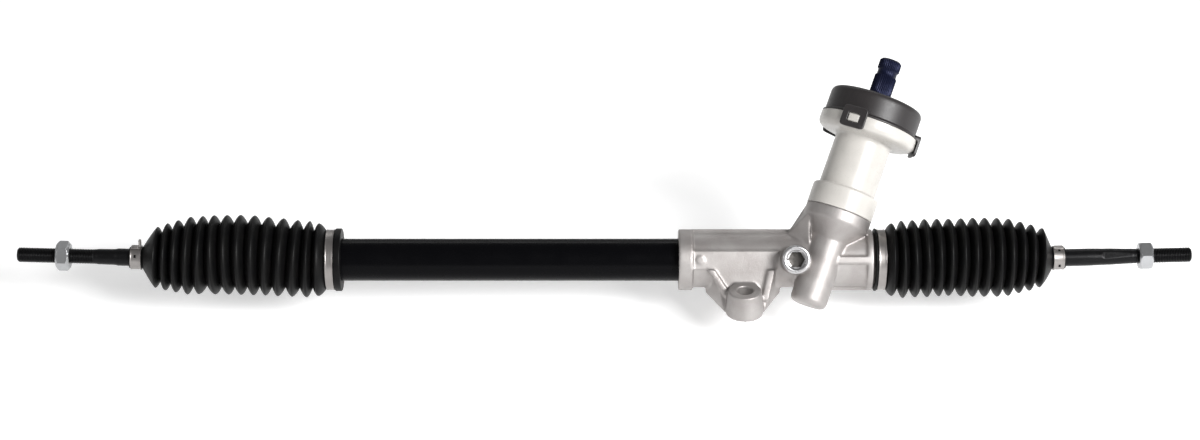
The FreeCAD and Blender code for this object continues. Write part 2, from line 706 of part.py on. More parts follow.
def gear_housing():
    barrel_start = "(collar_left + collar_length)"
    right_start = "right_body_start"
    front = RACK_LINE * turn(X_AXIS, -size("web_slope"))
    towards_front = front * turn(X_AXIS, 90)
    collar = cylinder("collar_radius", "collar_length", along_x(size("collar_left")))
    barrel = cylinder("barrel_radius", f"{right_start} - {barrel_start}", along_x(
        size("collar_left") + size("collar_length")))
    rim_end = (size("spigot_end") - size("cuff_margin") - size("cuff_length") - size("right_lip_length")
               - size("rim_gap"))
    body_right = cylinder("barrel_radius", f"{rim_end} - {right_start}", along_x(size("right_body_start")))
    rim = cylinder("collar_radius", "rim_length", along_x(rim_end - size("rim_length")))
    spigot = cylinder("spigot_radius", f"spigot_end - {rim_end}", along_x(rim_end))

    # Ribs along the barrel: one on top, one underneath, and one along the front of the right section
    rib_length = f"(pinion_x - {barrel_start})"
    rib_middle = (size("pinion_x") + size("collar_left") + size("collar_length")) / 2
    ribs = [box(rib_length, "rib_width", "collar_radius", front * move(rib_middle))]
    right_middle = (size("pinion_x") + rim_end) / 2
    right_length = f"({rim_end} - pinion_x)"
    for angle in (0, 90, 180):
        ribs.append(box(right_length, "panel_rib_width", "collar_radius",
                        front * turn(X_AXIS, angle) * move(right_middle)))

    # Lug with its web, planed to face the front, and a rib along each flank
    lug = cone("lug_bottom_radius", "lug_top_radius", "lug_height", move())
    above_face = box("4 * web_half_length", "6 * barrel_radius", "4 * barrel_radius",
                     towards_front * move(0, 0, size("web_distance")))
    above_step = box("4 * web_half_length", "4 * barrel_radius", "4 * barrel_radius",
                     front * move(0, 0, size("web_top")))
    planed = cut(lug_web(), [above_face, above_step], "web")
    pad_middle = (size("collar_left") + size("collar_length") + size("face_pad_end")) / 2
    face_pad = box(f"face_pad_end - {barrel_start}", "2 * web_top", "web_distance",
                   towards_front * move(pad_middle))
    flank_ribs = [flank_rib("left_rib_x", "-lug_top_radius", front),
                  flank_rib("right_rib_x", "(lug_top_radius + flank_rib_width)", front)]
    port_boss = cylinder("port_head_radius", "port_face - port_head_height", PORT)
    guide_boss = cylinder("guide_boss_radius", "guide_boss_end", GUIDE)
    nub = cylinder("nub_radius", "web_distance + nub_height", towards_front * move(size("nub_x")))
    solid = fuse([collar, barrel, body_right, rim, spigot, lug, planed, face_pad, port_boss, guide_boss,
                  gusset(), nub, pinion_barrel()] + ribs + flank_ribs, "casting")

    # Bores
    gap = size("free_gap")
    tube_bore = cylinder("tube_radius", "tube_right_end - collar_left", along_x(size("collar_left")))
    bar_bore = cylinder("barrel_bore_radius", "spigot_end - tube_right_end + 2 * free_gap",
                        along_x(size("tube_right_end") - size("free_gap")))
    needle_bore = cylinder("needle_journal_radius + fit_gap + 2 * needle_radius + needle_shell",
                           "needle_length + 2 * needle_inset", TOWER * move(0, 0, size("pinion_foot") - gap))
    gear_start = size("pinion_foot") + size("needle_length") + 2 * size("needle_inset") - gap
    gear_bore = cylinder("pinion_tip_radius + free_gap", f"bearing_bottom - ({gear_start})",
                         TOWER * move(0, 0, gear_start))
    collar_bore = cylinder("(bearing_bore_radius + bearing_outer_radius) / 2",
                           "bearing_bottom - gear_half_width + free_gap",
                           TOWER * move(0, 0, size("gear_half_width") - gap))
    bearing_bore = cylinder("bearing_outer_radius", "bearing_width",
                            TOWER * move(0, 0, size("bearing_bottom")))
    ring_bore = cylinder("lock_ring_radius", "tower_top - bearing_bottom - bearing_width",
                         TOWER * move(0, 0, size("bearing_bottom") + size("bearing_width")))
    lug_bore = cylinder("lug_bore_radius", "lug_height + 2 * free_gap", move(0, 0, -gap))
    port_bore = cylinder("port_shank_radius", "port_face", PORT)
    guide_bore = cylinder("guide_radius + fit_gap", "guide_boss_end + free_gap", GUIDE)
    housing = cut(solid, [tube_bore, bar_bore, needle_bore, gear_bore, collar_bore, bearing_bore, ring_bore,
                          lug_bore, port_bore, guide_bore], "gear_housing")
    return subpart(housing, "gear_housing")


# Screw plug in front of the bar
def port_plug():
    shoulder = "(port_face - port_head_height)"
    shank = "(port_shank_radius - fit_gap)"
    body = turned_z("port_plug", [
        ("0", "port_shank_end"), (f"{shank} - edge_chamfer", "port_shank_end"),
        (shank, "port_shank_end + edge_chamfer"), (shank, shoulder),
        ("port_head_radius", shoulder), ("port_head_radius", "port_face - edge_chamfer"),
        ("port_head_radius - edge_chamfer", "port_face"), ("0", "port_face")], PORT)
    hex_pocket(body, "port_hex_flats", "port_hex_depth", "port_face")


# Rack guide with its liner, spring, screw plug and locknut
def rack_guide():
    saddle = "(bar_radius + fit_gap + liner_thickness)"
    plug_front = "(guide_back + guide_slack)"
    blank = cylinder("guide_radius", "guide_back - guide_front", GUIDE * move(0, 0, size("guide_front")))
    bar_place = RACK_LINE * move(size("pinion_x") - 2 * size("guide_radius")) * turn(Y_AXIS, 90)
    hollow = cylinder(f"{saddle} + face_gap", "4 * guide_radius", bar_place)
    pocket = cylinder("spring_radius + spring_wire_radius + soft_gap", "spring_pocket_depth",
                      GUIDE * move(0, 0, size("guide_back") - size("spring_pocket_depth")))
    subpart(cut(blank, [hollow, pocket], "rack_guide"), "rack_guide")

    liner_blank = cylinder("guide_radius - free_gap", "bar_radius + liner_thickness",
                           GUIDE * move(0, 0, size("guide_front")))
    outer = cylinder(saddle, "4 * guide_radius", bar_place)
    sheet_form = doc.addObject("Part::Common", "liner_form")
    sheet_form.Base = liner_blank
    sheet_form.Tool = outer
    inner = cylinder("bar_radius + fit_gap", "4 * guide_radius", bar_place)
    subpart(cut(sheet_form, [inner], "rack_guide_liner"), "rack_guide_liner")

    plug_end = f"({plug_front} + guide_plug_length)"
    plug = turned_z("rack_guide_plug", [
        ("0", plug_front), ("guide_radius", plug_front), ("guide_radius", plug_end), ("0", plug_end)], GUIDE)
    hex_pocket(plug, "guide_plug_hex_flats", "guide_plug_length / 2", plug_end)

    nut = doc.addObject("PartDesign::Body", "rack_guide_locknut")
    outline = outline_sketch(nut, "XY_Plane", hexagon_points("locknut_flats"))
    outline.AttachmentOffset = Placement()
    outline.setExpression("AttachmentOffset.Base.z", bound("guide_boss_end"))
    pad = nut.newObject("PartDesign::Pad", "nut")
    pad.Profile = outline
    bind(pad, Length="locknut_thickness")
    hole(nut, "guide_radius + fit_gap", "guide_boss_end + locknut_thickness", "locknut_thickness")
    nut.Placement = GUIDE
    subpart(nut, "rack_guide_locknut")

    wire_radius = size("spring_wire_radius")
    bottom = size("guide_back") - size("spring_pocket_depth") + wire_radius + size("fit_gap")
    top = size("guide_back") + size("guide_slack") - wire_radius - size("fit_gap")
    helix = Part.makeHelix((top - bottom) / size("spring_turns"), top - bottom, size("spring_radius"))
    section = Part.Wire(Part.makeCircle(wire_radius, Vector(size("spring_radius"), 0, 0), Y_AXIS))
    spring = doc.addObject("Part::Feature", "rack_guide_spring")
    spring.Shape = Part.Wire(helix.Edges).makePipeShell([section], True, True)
    spring.Placement = GUIDE * move(0, 0, bottom)
    subpart(spring, "rack_guide_spring")


def hole(body, radius, start, depth):
    """A round hole sunk from the height start along -Z."""
    circle = body.newObject("Sketcher::SketchObject", "hole_circle")
    circle.AttachmentSupport = [(plane(body, "XY_Plane"), "")]
    circle.MapMode = "FlatFace"
    circle.addGeometry(Part.Circle(Vector(), Z_AXIS, 5))
    circle.addConstraint(Sketcher.Constraint("Coincident", 0, 3, -1, 1))
    index = circle.addConstraint(Sketcher.Constraint("Radius", 0, 5.0))
    circle.setExpression(f"Constraints[{index}]", bound(radius))
    circle.AttachmentOffset = Placement()
    circle.setExpression("AttachmentOffset.Base.z", bound(start))
    pocket = body.newObject("PartDesign::Pocket", "hole")
    pocket.Profile = circle
    bind(pocket, Length=depth)
    body.Tip = pocket


# Dust cover round the steering shaft
def dust_cover():
    collar_top = "(tower_top + cover_collar_height)"
    edge = "(cover_wall * 0.6)"
    inner = "(cover_tube_radius - cover_wall)"
    flare = "(cover_seam - cover_flange_height)"
    swell = "cover_flange_rounding"
    turned_z("dust_cover_tube", [
        (inner, "tower_top"), ("cover_collar_radius", "tower_top"),
        ("cover_collar_radius", f"{collar_top} - {edge}"), (f"cover_collar_radius - {edge}", collar_top),
        ("cover_tube_radius", f"{collar_top} + {edge}"), ("cover_tube_radius", flare),
        (f"cover_tube_radius + {swell} * 0.25", f"{flare} + {swell} * 0.25"),
        (f"cover_flange_radius - {swell} * 0.6", f"{flare} + {swell} * 0.4"),
        (f"cover_flange_radius - {swell} * 0.2", f"{flare} + {swell} * 0.6"),
        ("cover_flange_radius", f"{flare} + {swell}"),
        ("cover_flange_radius", "cover_seam"), ("cover_flange_radius - cover_wall", "cover_seam"),
        ("cover_flange_radius - cover_wall", f"{flare} + {swell}"),
        (f"cover_flange_radius - {swell} * 0.6", f"{flare} + {swell} * 0.4 + cover_wall"),
        (inner, f"{flare} + {swell} * 0.4 + cover_wall")], TOWER)

    body = turned_z("dust_cover_cap", [
        ("cap_hole_radius", "cap_top - cover_wall"), ("cap_radius - cover_wall - cap_edge_rounding / 2",
                                                      "cap_top - cover_wall"),
        ("cap_radius - cover_wall", "cap_top - cover_wall - cap_edge_rounding / 2"),
        ("cap_radius - cover_wall", "cover_seam + cover_wall"),
        ("cap_radius - 2 * cover_wall", "cover_seam + face_gap"),
        ("cover_flange_radius", "cover_seam + face_gap"), ("cap_radius", "cover_seam + cover_wall"),
        ("cap_radius", "cap_top - cap_edge_rounding"),
        ("cap_radius - cap_edge_rounding * 0.3", "cap_top - cap_edge_rounding * 0.3"),
        ("cap_radius - cap_edge_rounding", "cap_top"), ("cap_hole_radius", "cap_top")], TOWER)
    add_clips(body)


def add_clips(body):
    """Three sprung loops that hang from the cap over the flange, each with a window."""
    inside = "(cover_flange_radius + soft_gap)"
    outside = f"({inside} + clip_thickness)"
    top = "(cover_seam + clip_root)"
    root = "(cap_radius - clip_thickness / 2)"
    bottom = "(cover_seam - clip_drop)"
    sketch = outline_sketch(body, "XZ_Plane", [
        (root, top), (outside, f"{top} - clip_root / 4"), (outside, bottom), (inside, bottom),
        (inside, f"{top} - clip_root * 0.6"), (root, f"{top} - clip_root * 0.6")])
    clip = body.newObject("PartDesign::Pad", "clip")
    clip.Profile = sketch
    clip.Midplane = True
    bind(clip, Length="clip_width")
    doc.recompute()
    window_low = "(cover_seam - clip_drop + clip_lip)"
    half = "(clip_window_width / 2)"
    outline = outline_sketch(body, "YZ_Plane", [
        (f"-{half}", window_low), (half, window_low), (half, f"{window_low} + clip_window_height"),
        (f"-{half}", f"{window_low} + clip_window_height")])
    opening = body.newObject("PartDesign::Pocket", "window")
    opening.Profile = outline
    opening.Reversed = True
    bind(opening, Length=f"{outside} + clip_root")
    doc.recompute()
    ring = body.newObject("PartDesign::MultiTransform", "clips")
    turn_three = body.newObject("PartDesign::PolarPattern", "three_clips")
    turn_three.Axis = (sketch, ["V_Axis"])
    turn_three.Angle = 360
    turn_three.Occurrences = 3
    ring.Originals = [clip, opening]
    ring.Transformations = [turn_three]
    body.Tip = ring
    body.Placement = TOWER * turn(Z_AXIS, size("clip_first_angle"))


# Ball joints and tie rods, one set for each end
def ball_joint(side, ball):
    outer = cylinder("socket_radius", "ball_depth + socket_mouth",
                     ball * move(-size("ball_depth")) * turn(Y_AXIS, 90))
    mouth_place = ball * move(size("socket_mouth") - size("mouth_depth") / 2) * turn(Y_AXIS, 90)
    cavity = sphere("seat_radius + fit_gap / 2", ball)
    mouth = cone("mouth_inner_radius", "mouth_outer_radius", "mouth_depth", mouth_place)
    subpart(cut(outer, [cavity, mouth], f"{side}_ball_socket"), f"{side}_ball_socket")
    shell = sphere("seat_radius", ball)
    hollow = sphere("ball_radius + fit_gap", ball)
    trim = cylinder("2 * seat_radius", "2 * seat_radius",
                    ball * move(size("socket_mouth") - size("free_gap")) * turn(Y_AXIS, 90))
    inner_mouth = cone("mouth_inner_radius", "mouth_outer_radius", "mouth_depth", mouth_place)
    subpart(cut(shell, [hollow, trim, inner_mouth], f"{side}_ball_seat"), f"{side}_ball_seat")


def tie_rod(side, ball):
    rod = doc.addObject("PartDesign::Body", f"{side}_shank")
    root = "(neck_radius - neck_draft)"
    inside = "(ball_radius * 0.6)"
    nut_end = "(rod_length - nut_from_tip + nut_thickness + fit_gap)"
    shank = outline_sketch(rod, "XY_Plane", [
        (inside, "0"), (inside, root), ("neck_end", "neck_radius"), ("rod_swell_end", "rod_radius"),
        ("thread_start - thread_run_in", "rod_radius"), ("thread_start", "thread_root"), (nut_end, "thread_root"),
        (nut_end, "thread_radius"), ("rod_length - thread_chamfer", "thread_radius"),
        ("rod_length", "thread_radius - thread_chamfer"), ("rod_length", "0")])
    revolution = rod.newObject("PartDesign::Revolution", "turning")
    revolution.Profile = shank
    revolution.ReferenceAxis = (shank, ["H_Axis"])
    revolution.Angle = 360
    rod.Placement = ball
    head = sphere("ball_radius", ball)
    subpart(fuse([head, rod], f"{side}_tie_rod"), f"{side}_tie_rod")

    nut = doc.addObject("PartDesign::Body", f"{side}_jam_nut")
    outline = outline_sketch(nut, "XY_Plane", hexagon_points("nut_flats"))
    pad = nut.newObject("PartDesign::Pad", "nut")
    pad.Profile = outline
    bind(pad, Length="nut_thickness")
    hole(nut, "thread_root + fit_gap", "nut_thickness", "nut_thickness")
    nut_start = size("rod_length") - size("nut_from_tip")
    nut.Placement = ball * move(nut_start) * turn(Y_AXIS, 90)
    subpart(nut, f"{side}_jam_nut")


# Rubber boots
def boot(side, cuff_start, grip_radius, lip_length, direction, ball):
    """A corrugated boot from its large cuff at cuff_start to the small cuff on the tie rod."""
    small_end = ball.Base.x + direction * size(f"{side}_boot_reach")
    count = int(size("crest_count"))
    depth = size("crest_depth")
    wall = size("boot_wall")
    cuff = size("cuff_radius")
    lip = size("lip_radius")
    first = cuff_start + direction * size("cuff_length")
    first_crest = first + direction * size("crest_inset")
    last_crest = small_end - direction * size(f"{side}_small_cone")
    pitch = (last_crest - first_crest) / (count - 1)
    cuff_tip = small_end + direction * size("small_cuff_length")
    small_inner = size("rod_radius") + size("soft_gap")
    small_outer = small_inner + size("small_cuff_wall")

    def crest(index):
        share = index / (count - 1)
        large_drop = (size("crest_radius") - size("large_end_crest")) * max(1 - share / 0.3, 0) ** 2
        small_drop = (size("crest_radius") - size("small_end_crest")) * max((share - 0.6) / 0.4, 0) ** 2
        return size("crest_radius") - large_drop - small_drop

    outer = [(cuff_start - direction * lip_length, grip_radius), (cuff_start - direction * lip_length, lip),
             (cuff_start, lip), (cuff_start, cuff), (first, cuff)]
    for index in range(count):
        outer.append((first_crest + pitch * index, crest(index)))
        if index < count - 1:
            outer.append((first_crest + pitch * (index + 0.5), (crest(index) + crest(index + 1)) / 2 - depth))
    outer += [(small_end, small_outer), (cuff_tip, small_outer), (cuff_tip, small_inner)]
    inner = [(small_end, small_inner), (last_crest, crest(count - 1) - depth - wall),
             (first_crest + pitch * (count - 1) * 0.6, size("crest_radius") - depth - wall),
             (first_crest, crest(0) - depth - wall), (first, grip_radius)]
    corners = [Vector(x, r, 0) for x, r in outer + inner]
    profile = Part.Face(Part.makePolygon(corners + corners[:1]))
    piece = doc.addObject("Part::Feature", f"{side}_boot")
    piece.Shape = profile.revolve(Vector(), X_AXIS, 360)
    reach = size(f"{side}_boot_reach") + size("small_cuff_length") / 2
    rise = reach * math.tan(math.radians(size("rod_lift")))
    swing = math.degrees(math.atan(rise / abs(ball.Base.x + direction * reach - cuff_start)))
    piece.Placement = RACK_LINE * move(cuff_start) * turn(Y_AXIS, -direction * swing) * move(-cuff_start)
    subpart(piece, f"{side}_boot")


def clamps():
    large_inner = "(cuff_radius + soft_gap)"
    small_inner = "(rod_radius + soft_gap + small_cuff_wall + soft_gap)"
    left_cuff = size("tube_left_end") + size("cuff_margin") + size("cuff_length")
    right_cuff = size("spigot_end") - size("cuff_margin") - size("cuff_length")
    places = (
        ("left_large_clamp", large_inner, "band_width",
         along_x(left_cuff - size("band_width") - size("band_margin"))),
        ("right_large_clamp", large_inner, "band_width", along_x(right_cuff + size("band_margin"))),
        ("left_small_clamp", small_inner, "small_band_width",
         LEFT_BALL * move(size("left_boot_reach") + size("small_band_inset")) * turn(Y_AXIS, 90)),
        ("right_small_clamp", small_inner, "small_band_width",
         RIGHT_BALL * move(size("right_boot_reach") + size("small_band_inset")) * turn(Y_AXIS, 90)),
    )
    for label, inner, width, place in places:
        outer = cylinder(f"{inner} + band_thickness", width, place)
        doc.recompute()
        reach = outer.Radius.Value
        ear_middle = reach + size("band_ear_height") / 2 - size("band_thickness")
        ear = box("band_ear_height", "band_ear_length", width, place * turn(Z_AXIS, 60) * move(ear_middle))
        opening = cylinder(inner, width, place)
        subpart(cut(fuse([outer, ear]), [opening], label), label)


rack_bar()
pinion_shaft()
needle_bearing()
ball_bearing()
pinion_seals()
rack_tube()
gear_housing()
port_plug()
rack_guide()
dust_cover()
ball_joint("left", LEFT_SOCKET)
ball_joint("right", RIGHT_SOCKET)
tie_rod("left", LEFT_BALL)
tie_rod("right", RIGHT_BALL)
boot("left", size("tube_left_end") + size("cuff_margin") + size("cuff_length"),
     size("tube_radius") + size("soft_gap"), size("lip_length"), -1, LEFT_SOCKET)
boot("right", size("spigot_end") - size("cuff_margin") - size("cuff_length"),
     size("spigot_radius") + size("soft_gap"), size("right_lip_length"), 1, RIGHT_SOCKET)
clamps()
doc.recompute()

for thing in doc.Objects:
    if "Invalid" in thing.State or "Error" in thing.State:
        raise RuntimeError(f"{thing.Name} ({thing.Label}) failed: {thing.State}")
for piece in SUBPARTS:
    if piece.Shape.isNull() or not piece.Shape.isValid() or piece.Shape.Volume <= 0:
        raise RuntimeError(f"{piece.Label} has no valid shape")

os.makedirs("parts", exist_ok=True)
for piece in SUBPARTS:
    piece.Shape.exportStep(f"parts/{piece.Label}.step")
    print(piece.Label, len(piece.Shape.Solids), round(piece.Shape.Volume), "mm3")
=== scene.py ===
import json
import math

import bmesh
import bpy
from mathutils import Matrix, Vector


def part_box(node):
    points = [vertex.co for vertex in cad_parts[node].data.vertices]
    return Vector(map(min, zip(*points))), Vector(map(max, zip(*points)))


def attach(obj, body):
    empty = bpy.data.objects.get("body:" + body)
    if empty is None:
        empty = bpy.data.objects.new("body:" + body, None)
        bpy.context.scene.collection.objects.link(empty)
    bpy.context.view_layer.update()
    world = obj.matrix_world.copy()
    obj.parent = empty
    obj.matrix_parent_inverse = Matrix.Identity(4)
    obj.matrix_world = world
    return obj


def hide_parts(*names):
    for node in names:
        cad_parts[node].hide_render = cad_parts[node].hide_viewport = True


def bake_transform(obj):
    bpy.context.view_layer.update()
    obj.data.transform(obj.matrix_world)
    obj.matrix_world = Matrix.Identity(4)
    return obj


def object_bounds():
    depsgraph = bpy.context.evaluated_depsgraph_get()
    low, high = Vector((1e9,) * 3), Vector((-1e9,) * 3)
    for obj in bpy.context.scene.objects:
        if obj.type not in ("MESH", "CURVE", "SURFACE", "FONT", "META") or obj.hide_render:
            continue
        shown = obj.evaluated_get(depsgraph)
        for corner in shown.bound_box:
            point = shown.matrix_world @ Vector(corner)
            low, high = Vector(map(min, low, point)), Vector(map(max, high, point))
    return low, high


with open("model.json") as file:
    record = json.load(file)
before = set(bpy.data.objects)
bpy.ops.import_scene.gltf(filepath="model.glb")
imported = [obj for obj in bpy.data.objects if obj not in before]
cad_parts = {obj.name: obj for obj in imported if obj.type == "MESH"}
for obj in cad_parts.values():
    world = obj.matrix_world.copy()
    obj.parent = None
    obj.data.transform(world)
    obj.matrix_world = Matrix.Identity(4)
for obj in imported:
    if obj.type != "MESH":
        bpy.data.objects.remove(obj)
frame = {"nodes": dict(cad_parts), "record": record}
cad_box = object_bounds()

MM = 0.001
# How the photograph was taken: one pixel at the bar, and where the lug's hole and the bar lie in it
PIXEL = 0.945 * MM
FRAME_WIDTH = 1200
LUG_PIXEL_X = 742.8
BAR_PIXELS_BELOW_CENTRE = 39.7
CAMERA_ELEVATION = math.radians(30)
CAMERA_DISTANCE = 2.5
FORWARD = Vector((0, math.cos(CAMERA_ELEVATION), -math.sin(CAMERA_ELEVATION)))
UPWARD = Vector((0, math.sin(CAMERA_ELEVATION), math.cos(CAMERA_ELEVATION)))

joints = {joint["name"]: joint for joint in frame["record"]["behaviour"]["joints"]}


# Places: each has its X axis along the piece
def axis_place(origin, along, across):
    """A place at origin whose X axis runs along, and whose Y axis lies towards across."""
    x_axis = Vector(along).normalized()
    z_axis = x_axis.cross(Vector(across)).normalized()
    y_axis = z_axis.cross(x_axis)
    place = Matrix((x_axis, y_axis, z_axis)).transposed().to_4x4()
    place.translation = Vector(origin)
    return place


tube_low, tube_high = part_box("rack_tube")
BAR_Y = (tube_low.y + tube_high.y) / 2
BAR_Z = (tube_low.z + tube_high.z) / 2
BAR = axis_place((0, BAR_Y, BAR_Z), (1, 0, 0), (0, 1, 0))
ROD_LIFT = math.radians(1.6)
BALLS = {side: Vector(joints[side + "_ball_joint"]["pos_m"]) for side in ("left", "right")}
OUTWARD = {"left": -1, "right": 1}
RODS = {side: axis_place(BALLS[side], (OUTWARD[side] * math.cos(ROD_LIFT), 0, math.sin(ROD_LIFT)),
                         (0, OUTWARD[side], 0)) for side in BALLS}
TOWER = axis_place(joints["pinion_turn"]["pos_m"], joints["pinion_turn"]["axis"], (1, 0, 0))
# The screw plug looks to the front and up by this angle
PLUG_RISE = math.radians(31.0)
PLUG = axis_place((47.3 * MM, BAR_Y, BAR_Z), (0, -math.cos(PLUG_RISE), math.sin(PLUG_RISE)), (1, 0, 0))


# Camera, light and floor
def stage_camera():
    data = bpy.data.cameras.new("camera")
    data.sensor_width = 36
    data.lens = CAMERA_DISTANCE / PIXEL / FRAME_WIDTH * data.sensor_width
    data.clip_start = 0.05
    camera = bpy.data.objects.new("camera", data)
    bar_point = Vector(((FRAME_WIDTH / 2 - LUG_PIXEL_X) * PIXEL, BAR_Y, BAR_Z))
    camera.location = bar_point + UPWARD * (BAR_PIXELS_BELOW_CENTRE * PIXEL) - FORWARD * CAMERA_DISTANCE
    camera.rotation_euler = (math.radians(90) - CAMERA_ELEVATION, 0, 0)
    bpy.context.scene.collection.objects.link(camera)
    bpy.context.scene.camera = camera
    bpy.context.scene.view_settings.view_transform = "Standard"


def area_light(name, place, target, width, height, power):
    data = bpy.data.lights.new(name, "AREA")
    data.shape = "RECTANGLE"
    data.size = width
    data.size_y = height
    data.energy = power
    light = bpy.data.objects.new(name, data)
    light.location = place
    light.rotation_mode = "QUATERNION"
    light.rotation_quaternion = (Vector(target) - Vector(place)).to_track_quat("-Z", "Y")
    bpy.context.scene.collection.objects.link(light)


def studio_floor():
    below_part = 18 * MM        # clear of the rods' lowest swing
    reach = 6.0
    floor_z = cad_box[0].z - below_part
    mesh = bpy.data.meshes.new("floor")
    mesh.from_pydata([(-reach, -reach, floor_z), (reach, -reach, floor_z), (reach, reach, floor_z),
                      (-reach, reach, floor_z)], [], [(0, 1, 2, 3)])
    floor = bpy.data.objects.new("floor", mesh)
    bpy.context.scene.collection.objects.link(floor)
    mesh.materials.append(floor_paper())


def studio_sky():
    """A soft white room, a little darker overhead than at eye level."""
    world = bpy.data.worlds.new("studio")
    bpy.context.scene.world = world
    world.use_nodes = True
    background = world.node_tree.nodes["Background"]
    background.inputs["Strength"].default_value = 0.7
    sky = NodeTree(world.node_tree)
    direction = sky.node("ShaderNodeTexCoord", {}, {})["Generated"]
    height = sky.node("ShaderNodeSeparateXYZ", {}, {0: direction})["Z"]
    sky.connect(background.inputs["Color"], sky.range(height, 0.0, 0.9, 0.62, 0.38))


def studio_lights():
    area_light("key", (1.6, -1.8, 1.6), (0.05, BAR_Y, 0.05), 1.3, 0.9, 128)
    area_light("fill", (-1.9, -1.2, 1.3), (-0.2, BAR_Y, 0.05), 0.8, 0.5, 5)
    area_light("back", (0.3, 1.8, 1.5), (0.0, BAR_Y, 0.05), 2.4, 0.4, 8)


# Shader maths
class Value:
    """A shader socket that takes part in sums."""

    def __init__(self, tree, socket):
        self.tree = tree
        self.socket = socket

    def sum_with(self, operation, other, swapped=False):
        first, second = (other, self) if swapped else (self, other)
        return self.tree.node("ShaderNodeMath", {"operation": operation}, {0: first, 1: second})["Value"]

    def __add__(self, other):
        return self.sum_with("ADD", other)

    def __radd__(self, other):
        return self.sum_with("ADD", other, True)

    def __sub__(self, other):
        return self.sum_with("SUBTRACT", other)

    def __rsub__(self, other):
        return self.sum_with("SUBTRACT", other, True)

    def __mul__(self, other):
        return self.sum_with("MULTIPLY", other)

    def __rmul__(self, other):
        return self.sum_with("MULTIPLY", other, True)

    def __pow__(self, other):
        return self.sum_with("POWER", other)


class NodeTree:
    """A material's or the world's nodes, and the ways in which they are added and joined."""

    def __init__(self, tree):
        self.tree = tree

    def node(self, kind, settings, inputs):
        """The enabled outputs, by name, of a new node with these settings and input values or links."""
        made = self.tree.nodes.new(kind)
        for name, value in settings.items():
            setattr(made, name, value)
        for name, value in inputs.items():
            self.connect(made.inputs[name], value)
        return {socket.name: Value(self, socket) for socket in made.outputs if socket.enabled}

    def connect(self, socket, value):
        """Link a value to a socket, or set a number, vector or colour there."""
        if isinstance(value, Value):
            self.tree.links.new(value.socket, socket)
        elif isinstance(value, tuple) and len(value) == 3 and socket.type == "RGBA":
            socket.default_value = (*value, 1)
        else:
            socket.default_value = value

    def range(self, value, low, high, new_low=0.0, new_high=1.0):
        """The value between low and high, carried over to between two new limits."""
        limits = {"From Min": low, "From Max": high, "To Min": new_low, "To Max": new_high}
        return self.node("ShaderNodeMapRange", {}, {"Value": value, **limits})["Result"]


class Finish(NodeTree):
    """A material and the few steps that all finishes share."""

    def __init__(self, name, colour, roughness, metallic=0.0, **fixed):
        self.material = bpy.data.materials.new(name)
        self.material.use_nodes = True
        super().__init__(self.material.node_tree)
        self.tree.nodes.clear()
        self.shader = self.tree.nodes.new("ShaderNodeBsdfPrincipled")
        self.node("ShaderNodeOutputMaterial", {}, {"Surface": Value(self, self.shader.outputs["BSDF"])})
        self.position = self.node("ShaderNodeTexCoord", {}, {})["Object"]
        self.feed(Base_Color=colour, Roughness=roughness, Metallic=metallic, **fixed)
        self.material.diffuse_color = (*colour, 1)

    def feed(self, **values):
        """Link or set the shader's own sockets, named with _ for a space."""
        for name, value in values.items():
            self.connect(self.shader.inputs[name.replace("_", " ")], value)

    def noise(self, scale, detail=3.0, stretch=(1, 1, 1)):
        """Noise with so many grains a metre, drawn out where stretch is below one."""
        where = self.node("ShaderNodeVectorMath", {"operation": "MULTIPLY"},
                          {0: self.position, 1: stretch})["Vector"]
        return self.node("ShaderNodeTexNoise", {}, {"Vector": where, "Scale": scale, "Detail": detail})["Fac"]

    def mix(self, share, first, second):
        """A colour between two; the Mix node's colour inputs are known by number."""
        colours = {6: first, 7: second}
        return self.node("ShaderNodeMix", {"data_type": "RGBA"}, {"Factor": share, **colours})["Result"]

    def bump(self, height, depth, strength):
        """Give the surface a relief of this depth in metres."""
        normal = self.node("ShaderNodeBump", {}, {"Height": height, "Distance": depth, "Strength": strength})
        self.feed(Normal=normal["Normal"])


def cast_aluminium():
    finish = Finish("cast aluminium", (0.4, 0.375, 0.36), 0.36, 0.85)
    darker, lighter = (0.32, 0.299, 0.29), (0.4, 0.381, 0.372)
    clouds = finish.noise(38, 4)
    grain = finish.noise(1300, 2)
    finish.feed(Base_Color=finish.mix(finish.range(clouds, 0.35, 0.65), darker, lighter),
                Roughness=finish.range(grain, 0.3, 0.7, 0.47, 0.6))
    finish.bump(grain + 0.8 * finish.noise(420, 3), 0.00022, 0.55)
    return finish.material


def tube_paint():
    finish = Finish("black gloss paint", (0.0015, 0.0015, 0.002), 0.26, Specular_IOR_Level=0.06)
    peel = finish.noise(900, 2)
    finish.feed(Roughness=finish.range(finish.noise(60, 3), 0.3, 0.7, 0.2, 0.32))
    finish.bump(peel, 0.00003, 0.5)
    return finish.material


def oxide_steel(name, colour, roughness, metallic):
    finish = Finish(name, colour, roughness, metallic, Specular_IOR_Level=0.2)
    worn = finish.range(finish.noise(260, 4, (0.4, 1, 1)), 0.5, 0.85)
    lighter = tuple(1.5 * part + 0.003 for part in colour)
    finish.feed(Base_Color=finish.mix(worn, colour, lighter),
                Roughness=finish.range(finish.noise(700, 3), 0.3, 0.7, roughness - 0.07, roughness + 0.1))
    finish.bump(finish.noise(1500, 2), 0.00004, 0.5)
    return finish.material


def plated_steel(name, colour, roughness):
    """Zinc plate, ground steel or bearing steel: bright metal with fine turning marks."""
    finish = Finish(name, colour, roughness, 1.0)
    marks = finish.noise(700, 2)
    clouds = finish.range(finish.noise(150, 3), 0.35, 0.65)
    darker = tuple(0.93 * part for part in colour)
    finish.feed(Base_Color=finish.mix(clouds, darker, colour),
                Roughness=finish.range(marks, 0.3, 0.7, roughness - 0.04, roughness + 0.06))
    finish.bump(marks, 0.00001, 0.4)
    return finish.material


